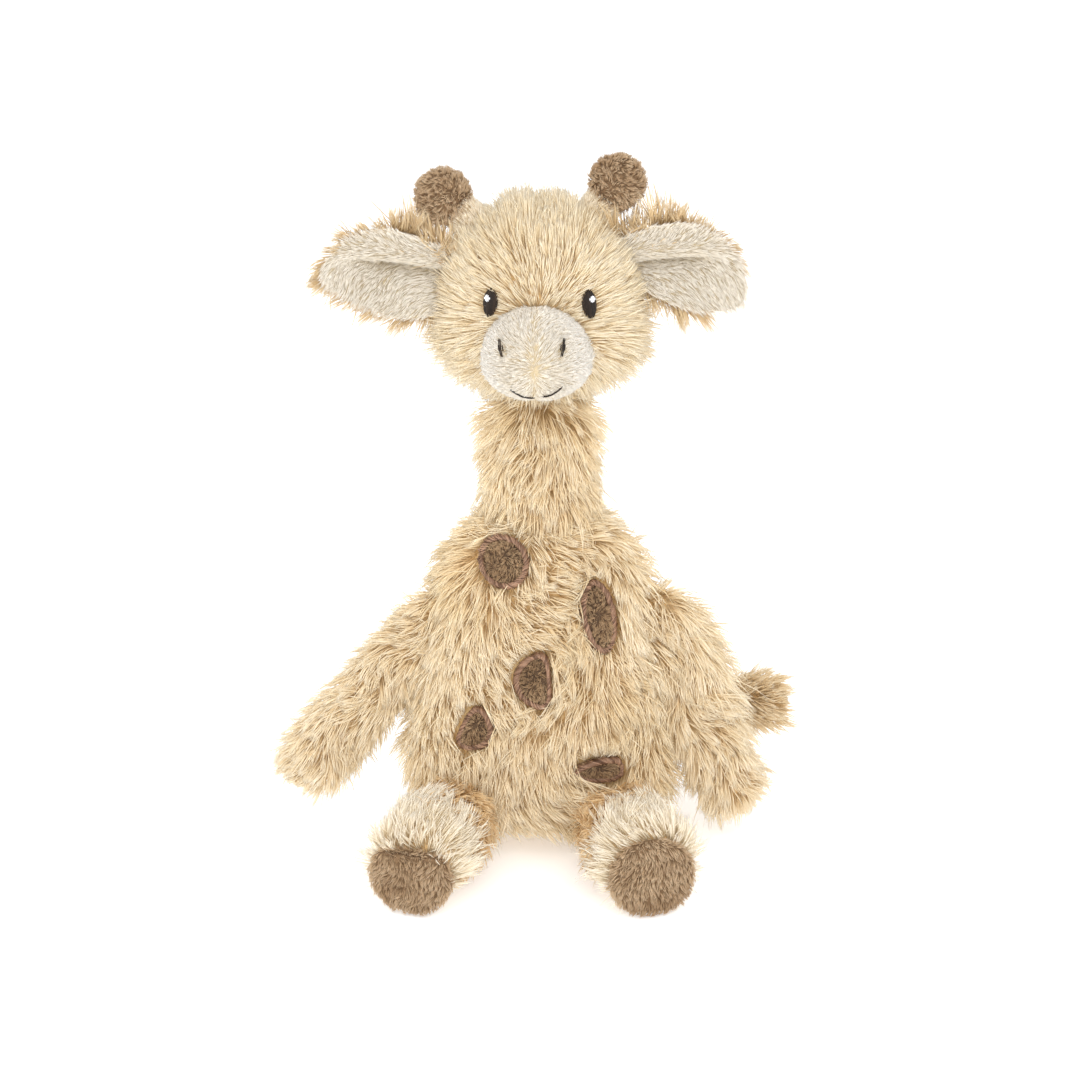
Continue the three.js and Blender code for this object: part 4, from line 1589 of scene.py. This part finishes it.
@dataclass(frozen=True)
class Embroidery:
    """How an oval is filled with upright satin stitches: how deep it lies and how high its middle stands."""

    finish: ThreadFinish
    inset: float
    dome: float
    thread: float = 0.2 * MM
    spacing: float = 1.5
    fewest: int = 3
    edge: float = 0.94
    steps: Numbers = (-1.0, -0.8, -0.4, 0.0, 0.4, 0.8, 1.0)
    ragged: float = 0.04
    tone: float = 0.4
    mottle: float = 0.25

    def fill(self, oval: Oval, surface: Surface, seed: int) -> Strands:
        """Fills an oval.

        Args:
            oval: The outline.
            surface: What it is sewn on.
            seed: Starts the draws.

        Returns:
            The threads.
        """
        rng = np.random.default_rng(seed)
        count = max(self.fewest, int(2 * oval.half_width / (self.spacing * self.thread)))
        across, steps = np.linspace(-self.edge, self.edge, count), np.array(self.steps)
        spans = [oval.half_height * math.sqrt(1 - x * x) * (1 + self.ragged * rng.normal()) for x in across]
        flat = oval.placed(np.repeat(across * oval.half_width, len(steps)), np.outer(spans, steps).ravel())
        places, normals = surface.front(flat, self.inset)
        path = places.reshape(count, len(steps), 3)
        normals = normals.reshape(count, len(steps), 3)
        rise = self.dome * (1 - across[:, None] ** 2) * (1 - steps[None, :] ** 4)
        tone = self.tone + self.mottle * rng.normal(size=count)
        out = normals[:, len(steps) // 2]
        return Strands(path + normals * rise[:, :, None], out, np.full(count, self.thread), tone)


@dataclass
class Face:
    """The muzzle's short pile and the embroidery of eyes, nostrils and mouth."""

    skins: Skins
    head: Head
    bridge: Place = (-1.9 * MM, -42 * MM, 180 * MM)
    sideways: float = 0.25
    rise: float = 0.12
    seam_length: float = 0.6
    seam_growth: Fade = Fade(0.4, 0.2 * MM, 2.2 * MM)
    cheek_growth: Fade = Fade(0.6, 12 * MM, 18 * MM)
    low: Fade = Fade(1.0, 190 * MM, 178 * MM)
    middle_tone: float = 0.42
    # Painted light on the muzzle's top and sides, where its pile is shaded, and painted shade along the
    # seam's groove.
    top_tone: Fade = Fade(0.35, 182 * MM, 198 * MM)
    side_tone: Fade = Fade(0.55, 7 * MM, 15 * MM)
    low_tone: Fade = Fade(-0.15, 174 * MM, 164 * MM)
    seam_tone: Fade = Fade(-0.25, 0.9 * MM, 0.0)
    nostril_half_width: float = 0.65 * MM
    nostril_half_height: float = 2.5 * MM
    nostril_tilt: float = 10.0
    nostril_centres: tuple[Flat, Flat] = ((6.8 * MM, 186 * MM), (-12 * MM, 185.4 * MM))
    glint_half_width: float = 0.85 * MM
    glint_half_height: float = 1.1 * MM
    glints: tuple[Flat, Flat] = ((0.5 * MM, 1.7 * MM), (-0.6 * MM, 1.5 * MM))
    mouth_strokes: tuple[tuple[Flat, Flat], tuple[Flat, Flat]] = (
        ((0.8 * MM, 169.8 * MM), (7.0 * MM, 173.1 * MM)),
        ((-2.0 * MM, 168.9 * MM), (-9.5 * MM, 172.1 * MM)),
    )
    mouth_thread: float = 0.3 * MM
    mouth_tone: float = 0.3
    mouth_sag: float = 0.6 * MM
    mouth_stitches: int = 3
    mouth_overlap: float = 0.04
    mouth_rise: float = 1.7 * MM
    mouth_depth: float = -0.12 * MM
    mouth_arch: Numbers = (-5.0, -5 / 12, 5 / 6, 1.0, 5 / 6, -5 / 12, -5.0)
    thread_end: float = 0.7
    thread_sides: int = 6
    eye: Embroidery = Embroidery(DARK_STITCH, inset=1.7 * MM, dome=0.9 * MM)
    glint: Embroidery = Embroidery(WHITE_STITCH, inset=0.65 * MM, dome=0.25 * MM)
    nostril: Embroidery = Embroidery(DARK_STITCH, inset=-1.2 * MM, dome=0.3 * MM)
    coat: Coat = ShortCoat(
        SHORT_PILE, length=3.2 * MM, per_square_mm=5.7, radius=0.115 * MM, lift=(22, 5), lock=0.9 * MM,
        stray=5, swirl=10, unruly=0.03, mottle=0.05, jitter=0.5,
    )

    def sew(self, name: str, threads: Strands, finish: ThreadFinish, node: str) -> None:
        """Makes one embroidered piece.

        Args:
            name: The piece's name.
            threads: Its threads.
            finish: Its thread.
            node: The CAD node that it stands for.
        """
        profile = [self.thread_end] + [1.0] * (threads.path.shape[1] - 2) + [self.thread_end]
        piece = strand_mesh(name, threads, profile, self.thread_sides)
        finish_piece(piece, "head", finish.material(), finish.slot, [node])

    def stroke(self, ends: tuple[Flat, Flat], surface: Surface) -> Strands:
        """One half of the mouth, as a run of back stitch.

        Args:
            ends: Where it starts and ends.
            surface: The muzzle.

        Returns:
            The threads.
        """
        start, end = (np.array(place) for place in ends)
        shares = np.linspace(0, 1, self.mouth_stitches + 1)
        rests, _ = surface.front(start + (end - start) * shares[:, None], -self.mouth_rise)
        bow = np.polyfit(shares, rests[:, 1], 2)
        rows = []
        for first, last in zip(shares[:-1], shares[1:]):
            run = np.linspace(first - self.mouth_overlap, last + self.mouth_overlap, len(self.mouth_arch))
            flat = start + (end - start) * run[:, None]
            flat[:, 1] -= self.mouth_sag * np.sin(math.pi * np.clip(run, 0, 1))
            depth = np.polyval(bow, run) + self.mouth_depth * np.array(self.mouth_arch)
            rows.append(np.stack((flat[:, 0], depth, flat[:, 1]), axis=1))
        outwards = np.tile((0.0, -1.0, 0.0), (len(rows), 1))
        thread, tone = np.full(len(rows), self.mouth_thread), np.full(len(rows), self.mouth_tone)
        return Strands(np.stack(rows), outwards, thread, tone)

    def comb(self, points: Array, normals: Array) -> Array:
        """Brushes the short pile away from the seam and the tip of the nose."""
        away = unit(points - np.array(self.bridge))
        sideways = np.clip((points[:, :1] - self.bridge[0]) / MM, -1, 1) * np.array((self.sideways, 0, 0))
        return away + sideways + self.rise * UP

    def reach(self, points: Array, normals: Array) -> Array:
        """The pile is clipped along the seam down the middle."""
        aside = np.abs(points[:, 0] - self.bridge[0])
        cheek = self.cheek_growth.at(aside) * self.low.at(points[:, 2])
        return self.seam_length + self.seam_growth.at(aside) + cheek

    def tone(self, points: Array, normals: Array) -> Array:
        """Painted light makes the top and sides palest; painted shade darkens the seam's groove; greyer low.
        """
        aside, height = np.abs(points[:, 0] - self.bridge[0]), points[:, 2]
        pale = self.top_tone.at(height) + self.side_tone.at(aside)
        return self.middle_tone + pale + self.low_tone.at(height) + self.seam_tone.at(aside)

    def build(self) -> None:
        """Makes the muzzle's pile and the embroidery."""
        surfaces, outer_head = self.skins.surfaces, self.skins.outer_head
        muzzle = surfaces["muzzle_skin"]
        nostrils = [
            Oval(centre, self.nostril_half_width, self.nostril_half_height, -side.value * self.nostril_tilt)
            for side, centre in zip(Side, self.nostril_centres)
        ]
        ground = Ground(
            muzzle, self.comb, reach=self.reach, tone=self.tone, guards=nostrils,
            hidden_in=[(surfaces["head_skin"], 0.5 * MM)], wisps=0.1, tuck=0.2 * MM, clear=0.0,
        )
        dress("muzzle_pile", ground, self.coat, 401, "head")
        for index, (side, eye, nostril) in enumerate(zip(Side, self.head.eyes(), nostrils)):
            x, z = (middle + aside for middle, aside in zip(eye.centre, self.glints[index]))
            glint = Oval((x, z), self.glint_half_width, self.glint_half_height)
            for name, oval, stitch, surface, seed in (
                ("eye", eye, self.eye, outer_head, 31),
                ("eye_glint", glint, self.glint, outer_head, 33),
                ("nostril", nostril, self.nostril, muzzle, 35),
            ):
                node = f"{name}_{side.tag}"
                self.sew(f"{node}_stitches", stitch.fill(oval, surface, seed + index), stitch.finish, node)
            stroke = self.stroke(self.mouth_strokes[index], muzzle)
            self.sew(f"mouth_{side.tag}_stitches", stroke, DARK_STITCH, f"mouth_stitch_{side.tag}")


@dataclass(frozen=True)
class EarPattern:
    """The rim of an ear's lining and the line of its fold, as X and Z in millimetres.

    The fringe is the length of the back's pile under the fold, near the head and at the tip, and the sweep is
    how far it is brushed outwards there.
    """

    rim: tuple[Flat, ...]
    fold: tuple[Flat, Flat]
    fringe: Band
    sweep: float
    rim_steps: int = 24

    def above(self, points: Array) -> Array:
        """How far above the fold's line each point lies."""
        (x, z), (far_x, far_z) = (np.array(place) * MM for place in self.fold)
        return points[:, 2] - z - (points[:, 0] - x) * (far_z - z) / (far_x - x)

    def along(self, points: Array) -> Array:
        """How far along the fold each point lies, 0 at the head and 1 at the fold's end."""
        start, end = self.fold[0][0] * MM, self.fold[1][0] * MM
        return (points[:, 0] - start) / (end - start)

    def radii(self, centre: Array, bearings: Array) -> Array:
        """The rim's distance from a centre at each bearing."""
        rim = np.array(self.rim + self.rim[:1]) * MM
        shares = np.linspace(0, 1, self.rim_steps, endpoint=False)[None, :, None]
        x, z = ((rim[:-1, None] + (rim[1:] - rim[:-1])[:, None] * shares).reshape(-1, 2) - centre).T
        return np.interp(bearings, np.arctan2(z, x), np.hypot(x, z), period=FULL_TURN)


EAR_PATTERNS = {
    Side.LEFT: EarPattern(
        (
            (22, 208.8), (25, 213.2), (35, 217.4), (44, 218.7), (51, 218.6), (58.4, 214.9), (65.8, 208.1),
            (68.4, 199.5), (67.2, 192.5), (62, 190.2), (52, 190), (44.4, 192), (38, 194), (31, 197.5),
            (22.8, 202.6),
        ),
        fold=((33.4, 206.2), (58.4, 209)), fringe=(1.3, 0.35), sweep=0.1,
    ),
    Side.RIGHT: EarPattern(
        (
            (-28, 205), (-31, 211), (-40.5, 214.6), (-49, 216.3), (-56, 216.3), (-64.4, 213.6), (-70.5, 207),
            (-72.3, 203), (-71.2, 200), (-68.6, 197.6), (-59.5, 192.4), (-49.8, 188), (-41, 186.5),
            (-33.6, 187.5), (-28.5, 195),
        ),
        fold=((-34.4, 203.6), (-62.9, 208.2)), fringe=(1.05, 0.9), sweep=0.8,
    ),
}


@dataclass(frozen=True)
class EarLeaf:
    """One of an ear's two leaves of cloth, folded with the other.

    It is sunk by its pile's inset, within the rim and back of the ear's middle. Under the fold is a bowl and
    over it a roll, both fading towards the tip.
    """

    name: str
    finish: PileFinish
    inset: float
    within: float
    back: float
    levels: int = 2
    rounds: int = 4
    bearings: int = 60
    fade: Fade = Fade(1.0, 1.25, 0.45)
    upper: Fade = Fade(1.0, -0.8 * MM, 0.8 * MM)
    bowl_depth: float = 6.5 * MM
    bowl_height: float = 6 * MM
    roll_depth: float = 2.8 * MM
    roll_middle: float = 3 * MM
    roll_height: float = 4 * MM

    def cloth(self, side: Side) -> Piece:
        """The smoothed cloth of one side's leaf, cut to its pattern and folded."""
        node = f"{self.name}_{side.tag}"
        piece = copy_of(f"{node}_skin", node)
        refine(piece, self.levels)
        sink(piece, self.inset)
        soften(piece, self.rounds)
        bpy.ops.object.shade_smooth()
        pattern = EAR_PATTERNS[side]
        points = triples(piece.data.vertices, "co").astype(float)
        self.cut(points, pattern)
        self.fold(points, pattern)
        piece.data.vertices.foreach_set("co", points.astype(np.float32).ravel())
        piece.data.update()
        return piece

    def cut(self, points: Array, pattern: EarPattern) -> None:
        """Stretches the leaf from its own outline to the pattern's.

        Args:
            points: The leaf's points, which are moved.
            pattern: The side's pattern.
        """
        flat = points[:, [0, 2]] - (points.min(axis=0) + points.max(axis=0))[[0, 2]] / 2
        bearings, reach = np.arctan2(flat[:, 1], flat[:, 0]), np.hypot(flat[:, 0], flat[:, 1])
        steps = np.linspace(-math.pi, math.pi, self.bearings, endpoint=False)
        apart = np.abs((bearings[None, :] - steps[:, None] + math.pi) % FULL_TURN - math.pi)
        outline = ((apart < FULL_TURN / self.bearings) * reach[None, :]).max(axis=1)
        own = np.interp(bearings, steps, outline, period=FULL_TURN)
        centre = np.mean(pattern.rim, axis=0) * MM
        scale = (pattern.radii(centre, bearings) - self.within) / own
        points[:, 0], points[:, 2] = (centre + flat * scale[:, None]).T

    def fold(self, points: Array, pattern: EarPattern) -> None:
        """Pushes the bowl back and rolls the upper edge forwards.

        Args:
            points: The leaf's points, which are moved.
            pattern: The side's pattern.
        """
        above, along = pattern.above(points), pattern.along(points)
        upper = self.upper.at(above)
        bowl = self.bowl_depth * (1 - upper) * hump(np.minimum(above, 0), 0.0, self.bowl_height)
        roll = self.roll_depth * upper * hump(above, self.roll_middle, self.roll_height)
        points[:, 1] += (bowl - roll) * self.fade.at(along) + self.back


EAR_BACK = EarLeaf("ear_back", EAR_PILE, inset=1.2 * MM, within=1.6 * MM, back=1.2 * MM)
EAR_LINING = EarLeaf("ear_lining", SHORT_PILE, inset=0.7 * MM, within=-0.4 * MM, back=-0.8 * MM)


@dataclass
class Ear:
    """One ear: a cream lining with a fold in front, and a back whose long pile fringes the rim."""

    skins: Skins
    side: Side
    back_edge: float = 0.05
    lining_edge: float = 0.2
    lining_spread: float = 0.9
    lining_fold: float = 8 * MM
    back_fold: float = 5 * MM
    back_spread: float = 0.15
    tip_spread: Fade = Fade(1.1, 0.5, 1.4)
    root_spread: Fade = Fade(-0.4, 0.35, 0.0)
    under: Fade = Fade(1.0, 0.0, 3 * MM)
    upper: Fade = Fade(1.0, -6 * MM, -1 * MM)
    upper_length: float = 1.35
    upper_trim: Fade = Fade(-0.5, 0.3, 0.8)
    fringe_run: Fade = Fade(1.0, 0.5, 0.95)
    middle_tone: float = 0.42
    # Painted shade in the fold's crease: how dark along the ear, and where and how wide across it.
    fold_tone: Fade = Fade(-0.9, 1.1, 0.5)
    fold_middle: float = -0.8 * MM
    fold_width: float = 2.2 * MM
    back_coat: Coat = replace(
        SHAGGY, finish=EAR_PILE, length=12 * MM, per_square_mm=2.5, radius=0.17 * MM, lift=(20, 9),
        lock=2.4 * MM, stray=12, swirl=14,
    )
    lining_coat: Coat = ShortCoat(
        SHORT_PILE, length=3.6 * MM, per_square_mm=4.7, radius=0.115 * MM, lift=(24, 5), lock=0.9 * MM,
        stray=4, swirl=8, unruly=0.02, mottle=0.04, jitter=0.4,
    )

    @property
    def pattern(self) -> EarPattern:
        """This side's pattern."""
        return EAR_PATTERNS[self.side]

    @property
    def outward(self) -> Array:
        """The way from the head to the tip."""
        return np.array((self.side.value, 0.0, 0.0))

    def from_fold(self, points: Array, height: float) -> Array:
        """Up above the fold and down below it, whole at a height from it."""
        return np.clip(self.pattern.above(points) / height, -1, 1)[:, None] * UP

    def lining_comb(self, points: Array, normals: Array) -> Array:
        """Brushes the short pile out from the fold to the rim."""
        return self.lining_spread * self.outward + self.from_fold(points, self.lining_fold)

    def back_comb(self, points: Array, normals: Array) -> Array:
        """Brushes the long pile up above the fold, down below it and outwards at the tip."""
        above, along = self.pattern.above(points), self.pattern.along(points)
        aside = self.back_spread + self.tip_spread.at(along) + self.root_spread.at(along)
        aside = aside + self.pattern.sweep * self.under.at(-above)
        return self.outward * aside[:, None] + self.from_fold(points, self.back_fold)

    def back_reach(self, points: Array, normals: Array) -> Array:
        """The fringe stands tallest over the root and shortens towards the tip."""
        above, along = self.pattern.above(points), self.pattern.along(points)
        near, tip = self.pattern.fringe
        upper = self.upper.at(above)
        lower = near + (tip - near) * self.fringe_run.at(along)
        return upper * (self.upper_length + self.upper_trim.at(along)) + (1 - upper) * lower

    def tone(self, points: Array, normals: Array) -> Array:
        """Darker in the fold: painted shade in the crease under the roll."""
        above, along = self.pattern.above(points), self.pattern.along(points)
        return self.middle_tone + self.fold_tone.at(along) * hump(above, self.fold_middle, self.fold_width)

    def build(self) -> None:
        """Makes both piles."""
        tag, surfaces = self.side.tag, self.skins.surfaces
        hidden = [(surfaces["head_skin"], 0.0)]
        back = Ground(
            surfaces[f"ear_back_{tag}_skin"], self.back_comb, reach=self.back_reach, hidden_in=hidden,
            keep=lambda points, normals: normals[:, 1] > self.back_edge,
        )
        dress(f"ear_back_{tag}_pile", back, self.back_coat, 501 + self.side.value, f"ear_{tag}")
        lining = Ground(
            surfaces[f"ear_lining_{tag}_skin"], self.lining_comb, tone=self.tone, hidden_in=hidden,
            keep=lambda points, normals: normals[:, 1] < self.lining_edge,
        )
        dress(f"ear_lining_{tag}_pile", lining, self.lining_coat, 511 + self.side.value, f"ear_{tag}")


@dataclass(frozen=True)
class Stalk:
    """The cloth of a horn's stalk, from inside the head to inside the knob."""

    root: float = 9 * MM
    root_radius: float = 5.9 * MM
    top_radius: float = 4.9 * MM
    sides: int = 40
    voxel: float = 0.9 * MM
    rounds: int = 6

    def cloth(self, tag: str) -> Piece:
        """Models one side's stalk as a cone with rounded edges."""
        clear_selection()
        base, top = node_centre(f"horn_stalk_{tag}"), node_centre(f"horn_knob_{tag}")
        axis = (top - base).normalized()
        base -= axis * self.root
        bpy.ops.mesh.primitive_cone_add(
            vertices=self.sides, radius1=self.root_radius, radius2=self.top_radius, depth=(top - base).length,
            location=(base + top) / 2, rotation=axis.to_track_quat("Z", "Y").to_euler(),
        )
        piece = bpy.context.active_object
        piece.name = f"horn_stalk_{tag}_skin"
        make_active(piece)
        bpy.ops.object.transform_apply(location=True, rotation=True, scale=True)
        apply_modifier(piece, "REMESH", mode="VOXEL", voxel_size=self.voxel)
        soften(piece, self.rounds)
        bpy.ops.object.shade_smooth()
        return piece


@dataclass
class Horn:
    """One horn: a cream stalk under a round brown knob."""

    skins: Skins
    side: Side
    knob_droop: float = 0.3
    knob_tone: float = 0.5
    patch_tone: float = 0.2
    patch_size: float = 6 * MM
    # The stalk's strands are drawn at a pale tone: painted light lifting the shade between the crown's fur.
    stalk_coat: Coat = ShortCoat(
        PAINTED_LIGHT_STALK_PILE, length=3.8 * MM, per_square_mm=5.5, radius=0.115 * MM, lift=(32, 8), lock=0.9 * MM,
        stray=9, swirl=12, droop=0.0, unruly=0.04, mottle=0.05, jitter=0.7, middle_tone=0.85,
    )
    knob_coat: Coat = ShortCoat(
        BROWN_PILE, length=2.6 * MM, per_square_mm=4.9, radius=0.135 * MM, lift=(54, 26), lock=1.1 * MM,
        gather=0.4, stray=40, swirl=60, swirl_size=7 * MM, droop=0.0, unruly=0.12, mottle=0.15,
    )

    def build(self) -> None:
        """Makes both piles."""
        tag, surfaces = self.side.tag, self.skins.surfaces
        stalk, knob = (surfaces[f"horn_{part}_{tag}_skin"] for part in ("stalk", "knob"))
        axis = unit(knob.centre - stalk.centre)
        drift = Drift(52 + self.side.value, self.patch_size)
        ground = Ground(stalk, one_way(axis), hidden_in=[(knob, 0.0), (surfaces["head_skin"], 0.0)])
        dress(f"horn_stalk_{tag}_pile", ground, self.stalk_coat, 601 + self.side.value, "head")
        ground = Ground(
            knob, one_way(axis + self.knob_droop * DOWN),
            tone=lambda points, normals: self.knob_tone + self.patch_tone * drift.at(points),
        )
        dress(f"horn_knob_{tag}_pile", ground, self.knob_coat, 611 + self.side.value, "head")


@dataclass
class Arm:
    """One arm: pile brushed from the shoulder to the tip."""

    skins: Skins
    side: Side
    droop: float = 0.25
    middle_tone: float = 0.62
    tip_tone: Fade = Fade(0.2, 30 * MM, 85 * MM)
    upper: Fade = Fade(1.0, 60 * MM, 25 * MM)
    left_shag: Fade = Fade(0.55, 0.1, 0.7)
    right_shag: Fade = Fade(0.1, 0.1, 0.7)
    tip_trim: Fade = Fade(-0.75, 0.1, 0.7)
    coat: Coat = replace(SHAGGY, length=10.5 * MM, per_square_mm=1.75, lift=(42, 14), swirl=24)

    def build(self) -> None:
        """Makes the pile."""
        tag, surfaces = self.side.tag, self.skins.surfaces
        surface, seam = surfaces[f"arm_{tag}_skin"], joint_place(f"arm_lift_{tag}")
        axis = unit(surface.centre - seam)
        shag = self.left_shag if self.side is Side.LEFT else self.right_shag

        def reach(points: Array, normals: Array) -> Array:
            """Longest on the outside of the upper arm and short at the very tip."""
            upper = shag.at(self.side.value * normals[:, 0]) * self.upper.at((points - seam) @ axis)
            return (1 + upper) * (1 + self.tip_trim.at(normals @ axis))

        ground = Ground(
            surface, one_way(axis + self.droop * DOWN), reach=reach,
            tone=lambda points, normals: self.middle_tone + self.tip_tone.at((points - seam) @ axis),
            hidden_in=[(surfaces["torso_skin"], 0.0)],
        )
        dress(f"arm_{tag}_pile", ground, self.coat, 701 + self.side.value, f"arm_{tag}")


@dataclass
class Leg:
    """One leg: a curly beige thigh, a cream foot and a brown sole."""

    skins: Skins
    side: Side
    foot_start: float = 0.48
    edge_wander: float = 0.07
    edge_size: float = 12 * MM
    inner_edge: float = 0.3
    inner_width: float = 20 * MM
    foot_flare: float = 0.6
    foot_brush: float = 0.6
    foot_rise: float = 0.5
    under_trim: Fade = Fade(-0.7, 0.4, 0.9)
    lap_depth: float = -33 * MM
    pad_radius: float = 14.2 * MM
    pad_depth: float = 1 * MM
    right_pad_drop: float = 3.4 * MM
    sole_back: float = -0.3
    sole_under: float = -0.9
    sole_tone: float = 0.5
    patch_tone: float = 0.2
    thigh_coat: Coat = Coat(
        THIGH_PILE, length=7.5 * MM, per_square_mm=2.0, radius=0.2 * MM, lift=(50, 20), lock=2.0 * MM,
        gather=0.55, stray=40, swirl=50, unruly=0.2,
    )
    foot_coat: Coat = Coat(
        FOOT_PILE, length=10 * MM, per_square_mm=2.1, radius=0.185 * MM, lift=(38, 12), lock=1.8 * MM,
        gather=0.4, stray=12, swirl=26, unruly=0.15, mottle=0.07,
    )
    sole_coat: Coat = ShortCoat(
        BROWN_PILE, length=2.6 * MM, per_square_mm=5.1, radius=0.125 * MM, lift=(46, 18), lock=1.2 * MM,
        gather=0.4, stray=14, swirl=24, swirl_size=7 * MM, droop=0.05, unruly=0.08, mottle=0.13,
    )

    def build(self) -> None:
        """Makes the three piles."""
        tag, surfaces = self.side.tag, self.skins.surfaces
        surface, sole = surfaces[f"leg_{tag}_skin"], surfaces[f"sole_{tag}_skin"]
        seam = joint_place(f"leg_lift_{tag}")
        axis = unit((sole.centre - seam) * LEVEL)
        length = (sole.centre - seam) @ axis
        drift = Drift(72 + self.side.value, self.edge_size)

        def on_foot(points: Array, normals: Array) -> Array:
            """True on the foot, whose edge is uneven and lies further on at the leg's inner side."""
            inner = -self.side.value * (points[:, 0] - surface.centre[0]) / self.inner_width
            along = ((points - seam) @ axis) / length + self.edge_wander * drift.at(points)
            return along - self.inner_edge * np.maximum(inner, 0) >= self.foot_start

        def flare(points: Array, normals: Array) -> Array:
            """Brushes the foot's pile back from the sole and upwards."""
            return self.foot_flare * unit(points - sole.centre) - self.foot_brush * axis + self.foot_rise * UP

        pad = sole.centre - (self.right_pad_drop if self.side is Side.RIGHT else 0.0) * UP
        lap = replace(SPOTS[-1].outline, slope=EYE_SLOPE, depth=self.lap_depth)
        leg = Ground(
            surface, one_way(axis), keep=lambda points, normals: ~on_foot(points, normals),
            reach=lambda points, normals: 1 + self.under_trim.at(-normals[:, 2]),
            guards=[Disc(pad, axis, self.pad_radius, self.pad_depth), lap],
            hidden_in=[(surfaces["torso_skin"], 0.0), (sole, 0.6 * MM)],
            tuck=0.0, clear=0.6 * MM, wisps=0.01,
        )
        dress(f"thigh_{tag}_pile", leg, self.thigh_coat, 801 + self.side.value, f"leg_{tag}")
        foot = replace(leg, comb=flare, keep=on_foot)
        dress(f"foot_{tag}_pile", foot, self.foot_coat, 811 + self.side.value, f"leg_{tag}")

        def on_front(points: Array, normals: Array) -> Array:
            """True on the sole's front and rim, but not under the foot."""
            return (normals @ axis > self.sole_back) & (normals[:, 2] > self.sole_under)

        ground = Ground(
            sole, one_way(DOWN), keep=on_front,
            tone=lambda points, normals: self.sole_tone + self.patch_tone * drift.at(2 * points),
        )
        dress(f"sole_{tag}_pile", ground, self.sole_coat, 821 + self.side.value, f"leg_{tag}")


@dataclass
class Tail:
    """The tail, with its tuft."""

    skins: Skins
    lay: Place = (1.0, -0.1, 0.1)
    stem_length: float = 0.6
    tuft_growth: Fade = Fade(0.4, 40 * MM, 62 * MM)
    tip_trim: Fade = Fade(-0.7, 0.1, 0.8)
    coat: Coat = replace(
        SHAGGY, finish=SHADED_TAIL_PILE, length=9.5 * MM, per_square_mm=1.8, lift=(40, 16), stray=14, swirl=16,
        middle_tone=0.7,
    )

    def build(self) -> None:
        """Makes the pile, brushed towards the tuft."""
        surfaces, seam = self.skins.surfaces, joint_place("tail_swing")

        def reach(points: Array, normals: Array) -> Array:
            """Short on the stem and at the very tip, long at the tuft."""
            length = self.stem_length + self.tuft_growth.at(points[:, 0] - seam[0])
            return length * (1 + self.tip_trim.at(normals[:, 0]))

        ground = Ground(
            surfaces["tail_skin"], one_way(np.array(self.lay)), reach=reach,
            hidden_in=[(surfaces["torso_skin"], 0.0)],
        )
        dress("tail_pile", ground, self.coat, 901, "tail")


@dataclass(frozen=True)
class Softbox:
    """A soft square lamp: where it hangs, its side and its power in watts."""

    name: str
    place: Place
    size: float
    power: float

    def hang(self, aim: Vector) -> None:
        """Hangs it, facing a place."""
        data = bpy.data.lights.new(self.name, "AREA")
        data.size = self.size
        data.energy = self.power
        lamp = new_piece(self.name, data)
        lamp.location = self.place
        lamp.rotation_euler = (aim - Vector(self.place)).to_track_quat("-Z", "Y").to_euler()


@dataclass
class Studio:
    """A pale floor, soft light and the photograph's viewpoint."""

    distance: float = 1.1
    elevation: float = 18.0
    aim: Place = (0.0, 0.0, 0.1069)
    lens: float = 106.6
    sensor: float = 36.0
    floor_size: float = 8.0
    floor_finish: PaperFinish = PaperFinish()
    world_colour: str = "ffffff"
    world_strength: float = 1.0
    lamps: tuple[Softbox, ...] = (
        Softbox("key_softbox", (0.15, -1.25, 0.85), 1.1, 10.0),
        Softbox("fill_softbox", (-0.5, -1.2, 0.25), 1.1, 4.0),
    )

    def build(self) -> None:
        """Makes the camera, the floor and the lights."""
        aim, angle = Vector(self.aim), math.radians(self.elevation)
        back = Vector((0, -math.cos(angle), math.sin(angle)))
        data = bpy.data.cameras.new("camera")
        data.lens = self.lens
        data.sensor_width = self.sensor
        camera = new_piece("camera", data)
        camera.location = aim + back * self.distance
        camera.rotation_euler = (-back).to_track_quat("-Z", "Y").to_euler()
        bpy.context.scene.camera = camera
        self.floor()
        for lamp in self.lamps:
            lamp.hang(aim)
        world = bpy.data.worlds.new("studio")
        world.use_nodes = True
        background = world.node_tree.nodes["Background"]
        background.inputs["Color"].default_value = srgb(self.world_colour)
        background.inputs["Strength"].default_value = self.world_strength
        bpy.context.scene.world = world
        bpy.context.scene.view_settings.view_transform = "Standard"

    def floor(self) -> None:
        """Lays the floor."""
        clear_selection()
        bpy.ops.mesh.primitive_plane_add(size=self.floor_size, location=(0, 0, 0))
        floor = bpy.context.active_object
        floor.name = "floor"
        floor.data.materials.append(self.floor_finish.material())


def main() -> None:
    """Builds the studio, then the toy from its covers outwards."""
    logging.basicConfig(level=logging.INFO, format="%(message)s")
    Studio().build()
    skins = Skins()
    skins.cut()
    head = Head(skins)
    parts = [Torso(skins), Neck(skins), head, Face(skins, head), Tail(skins)]
    for side in Side:
        parts += [Ear(skins, side), Horn(skins, side), Arm(skins, side), Leg(skins, side)]
    for part in parts:
        part.build()
    clear_selection()


if __name__ == "__main__":
    main()
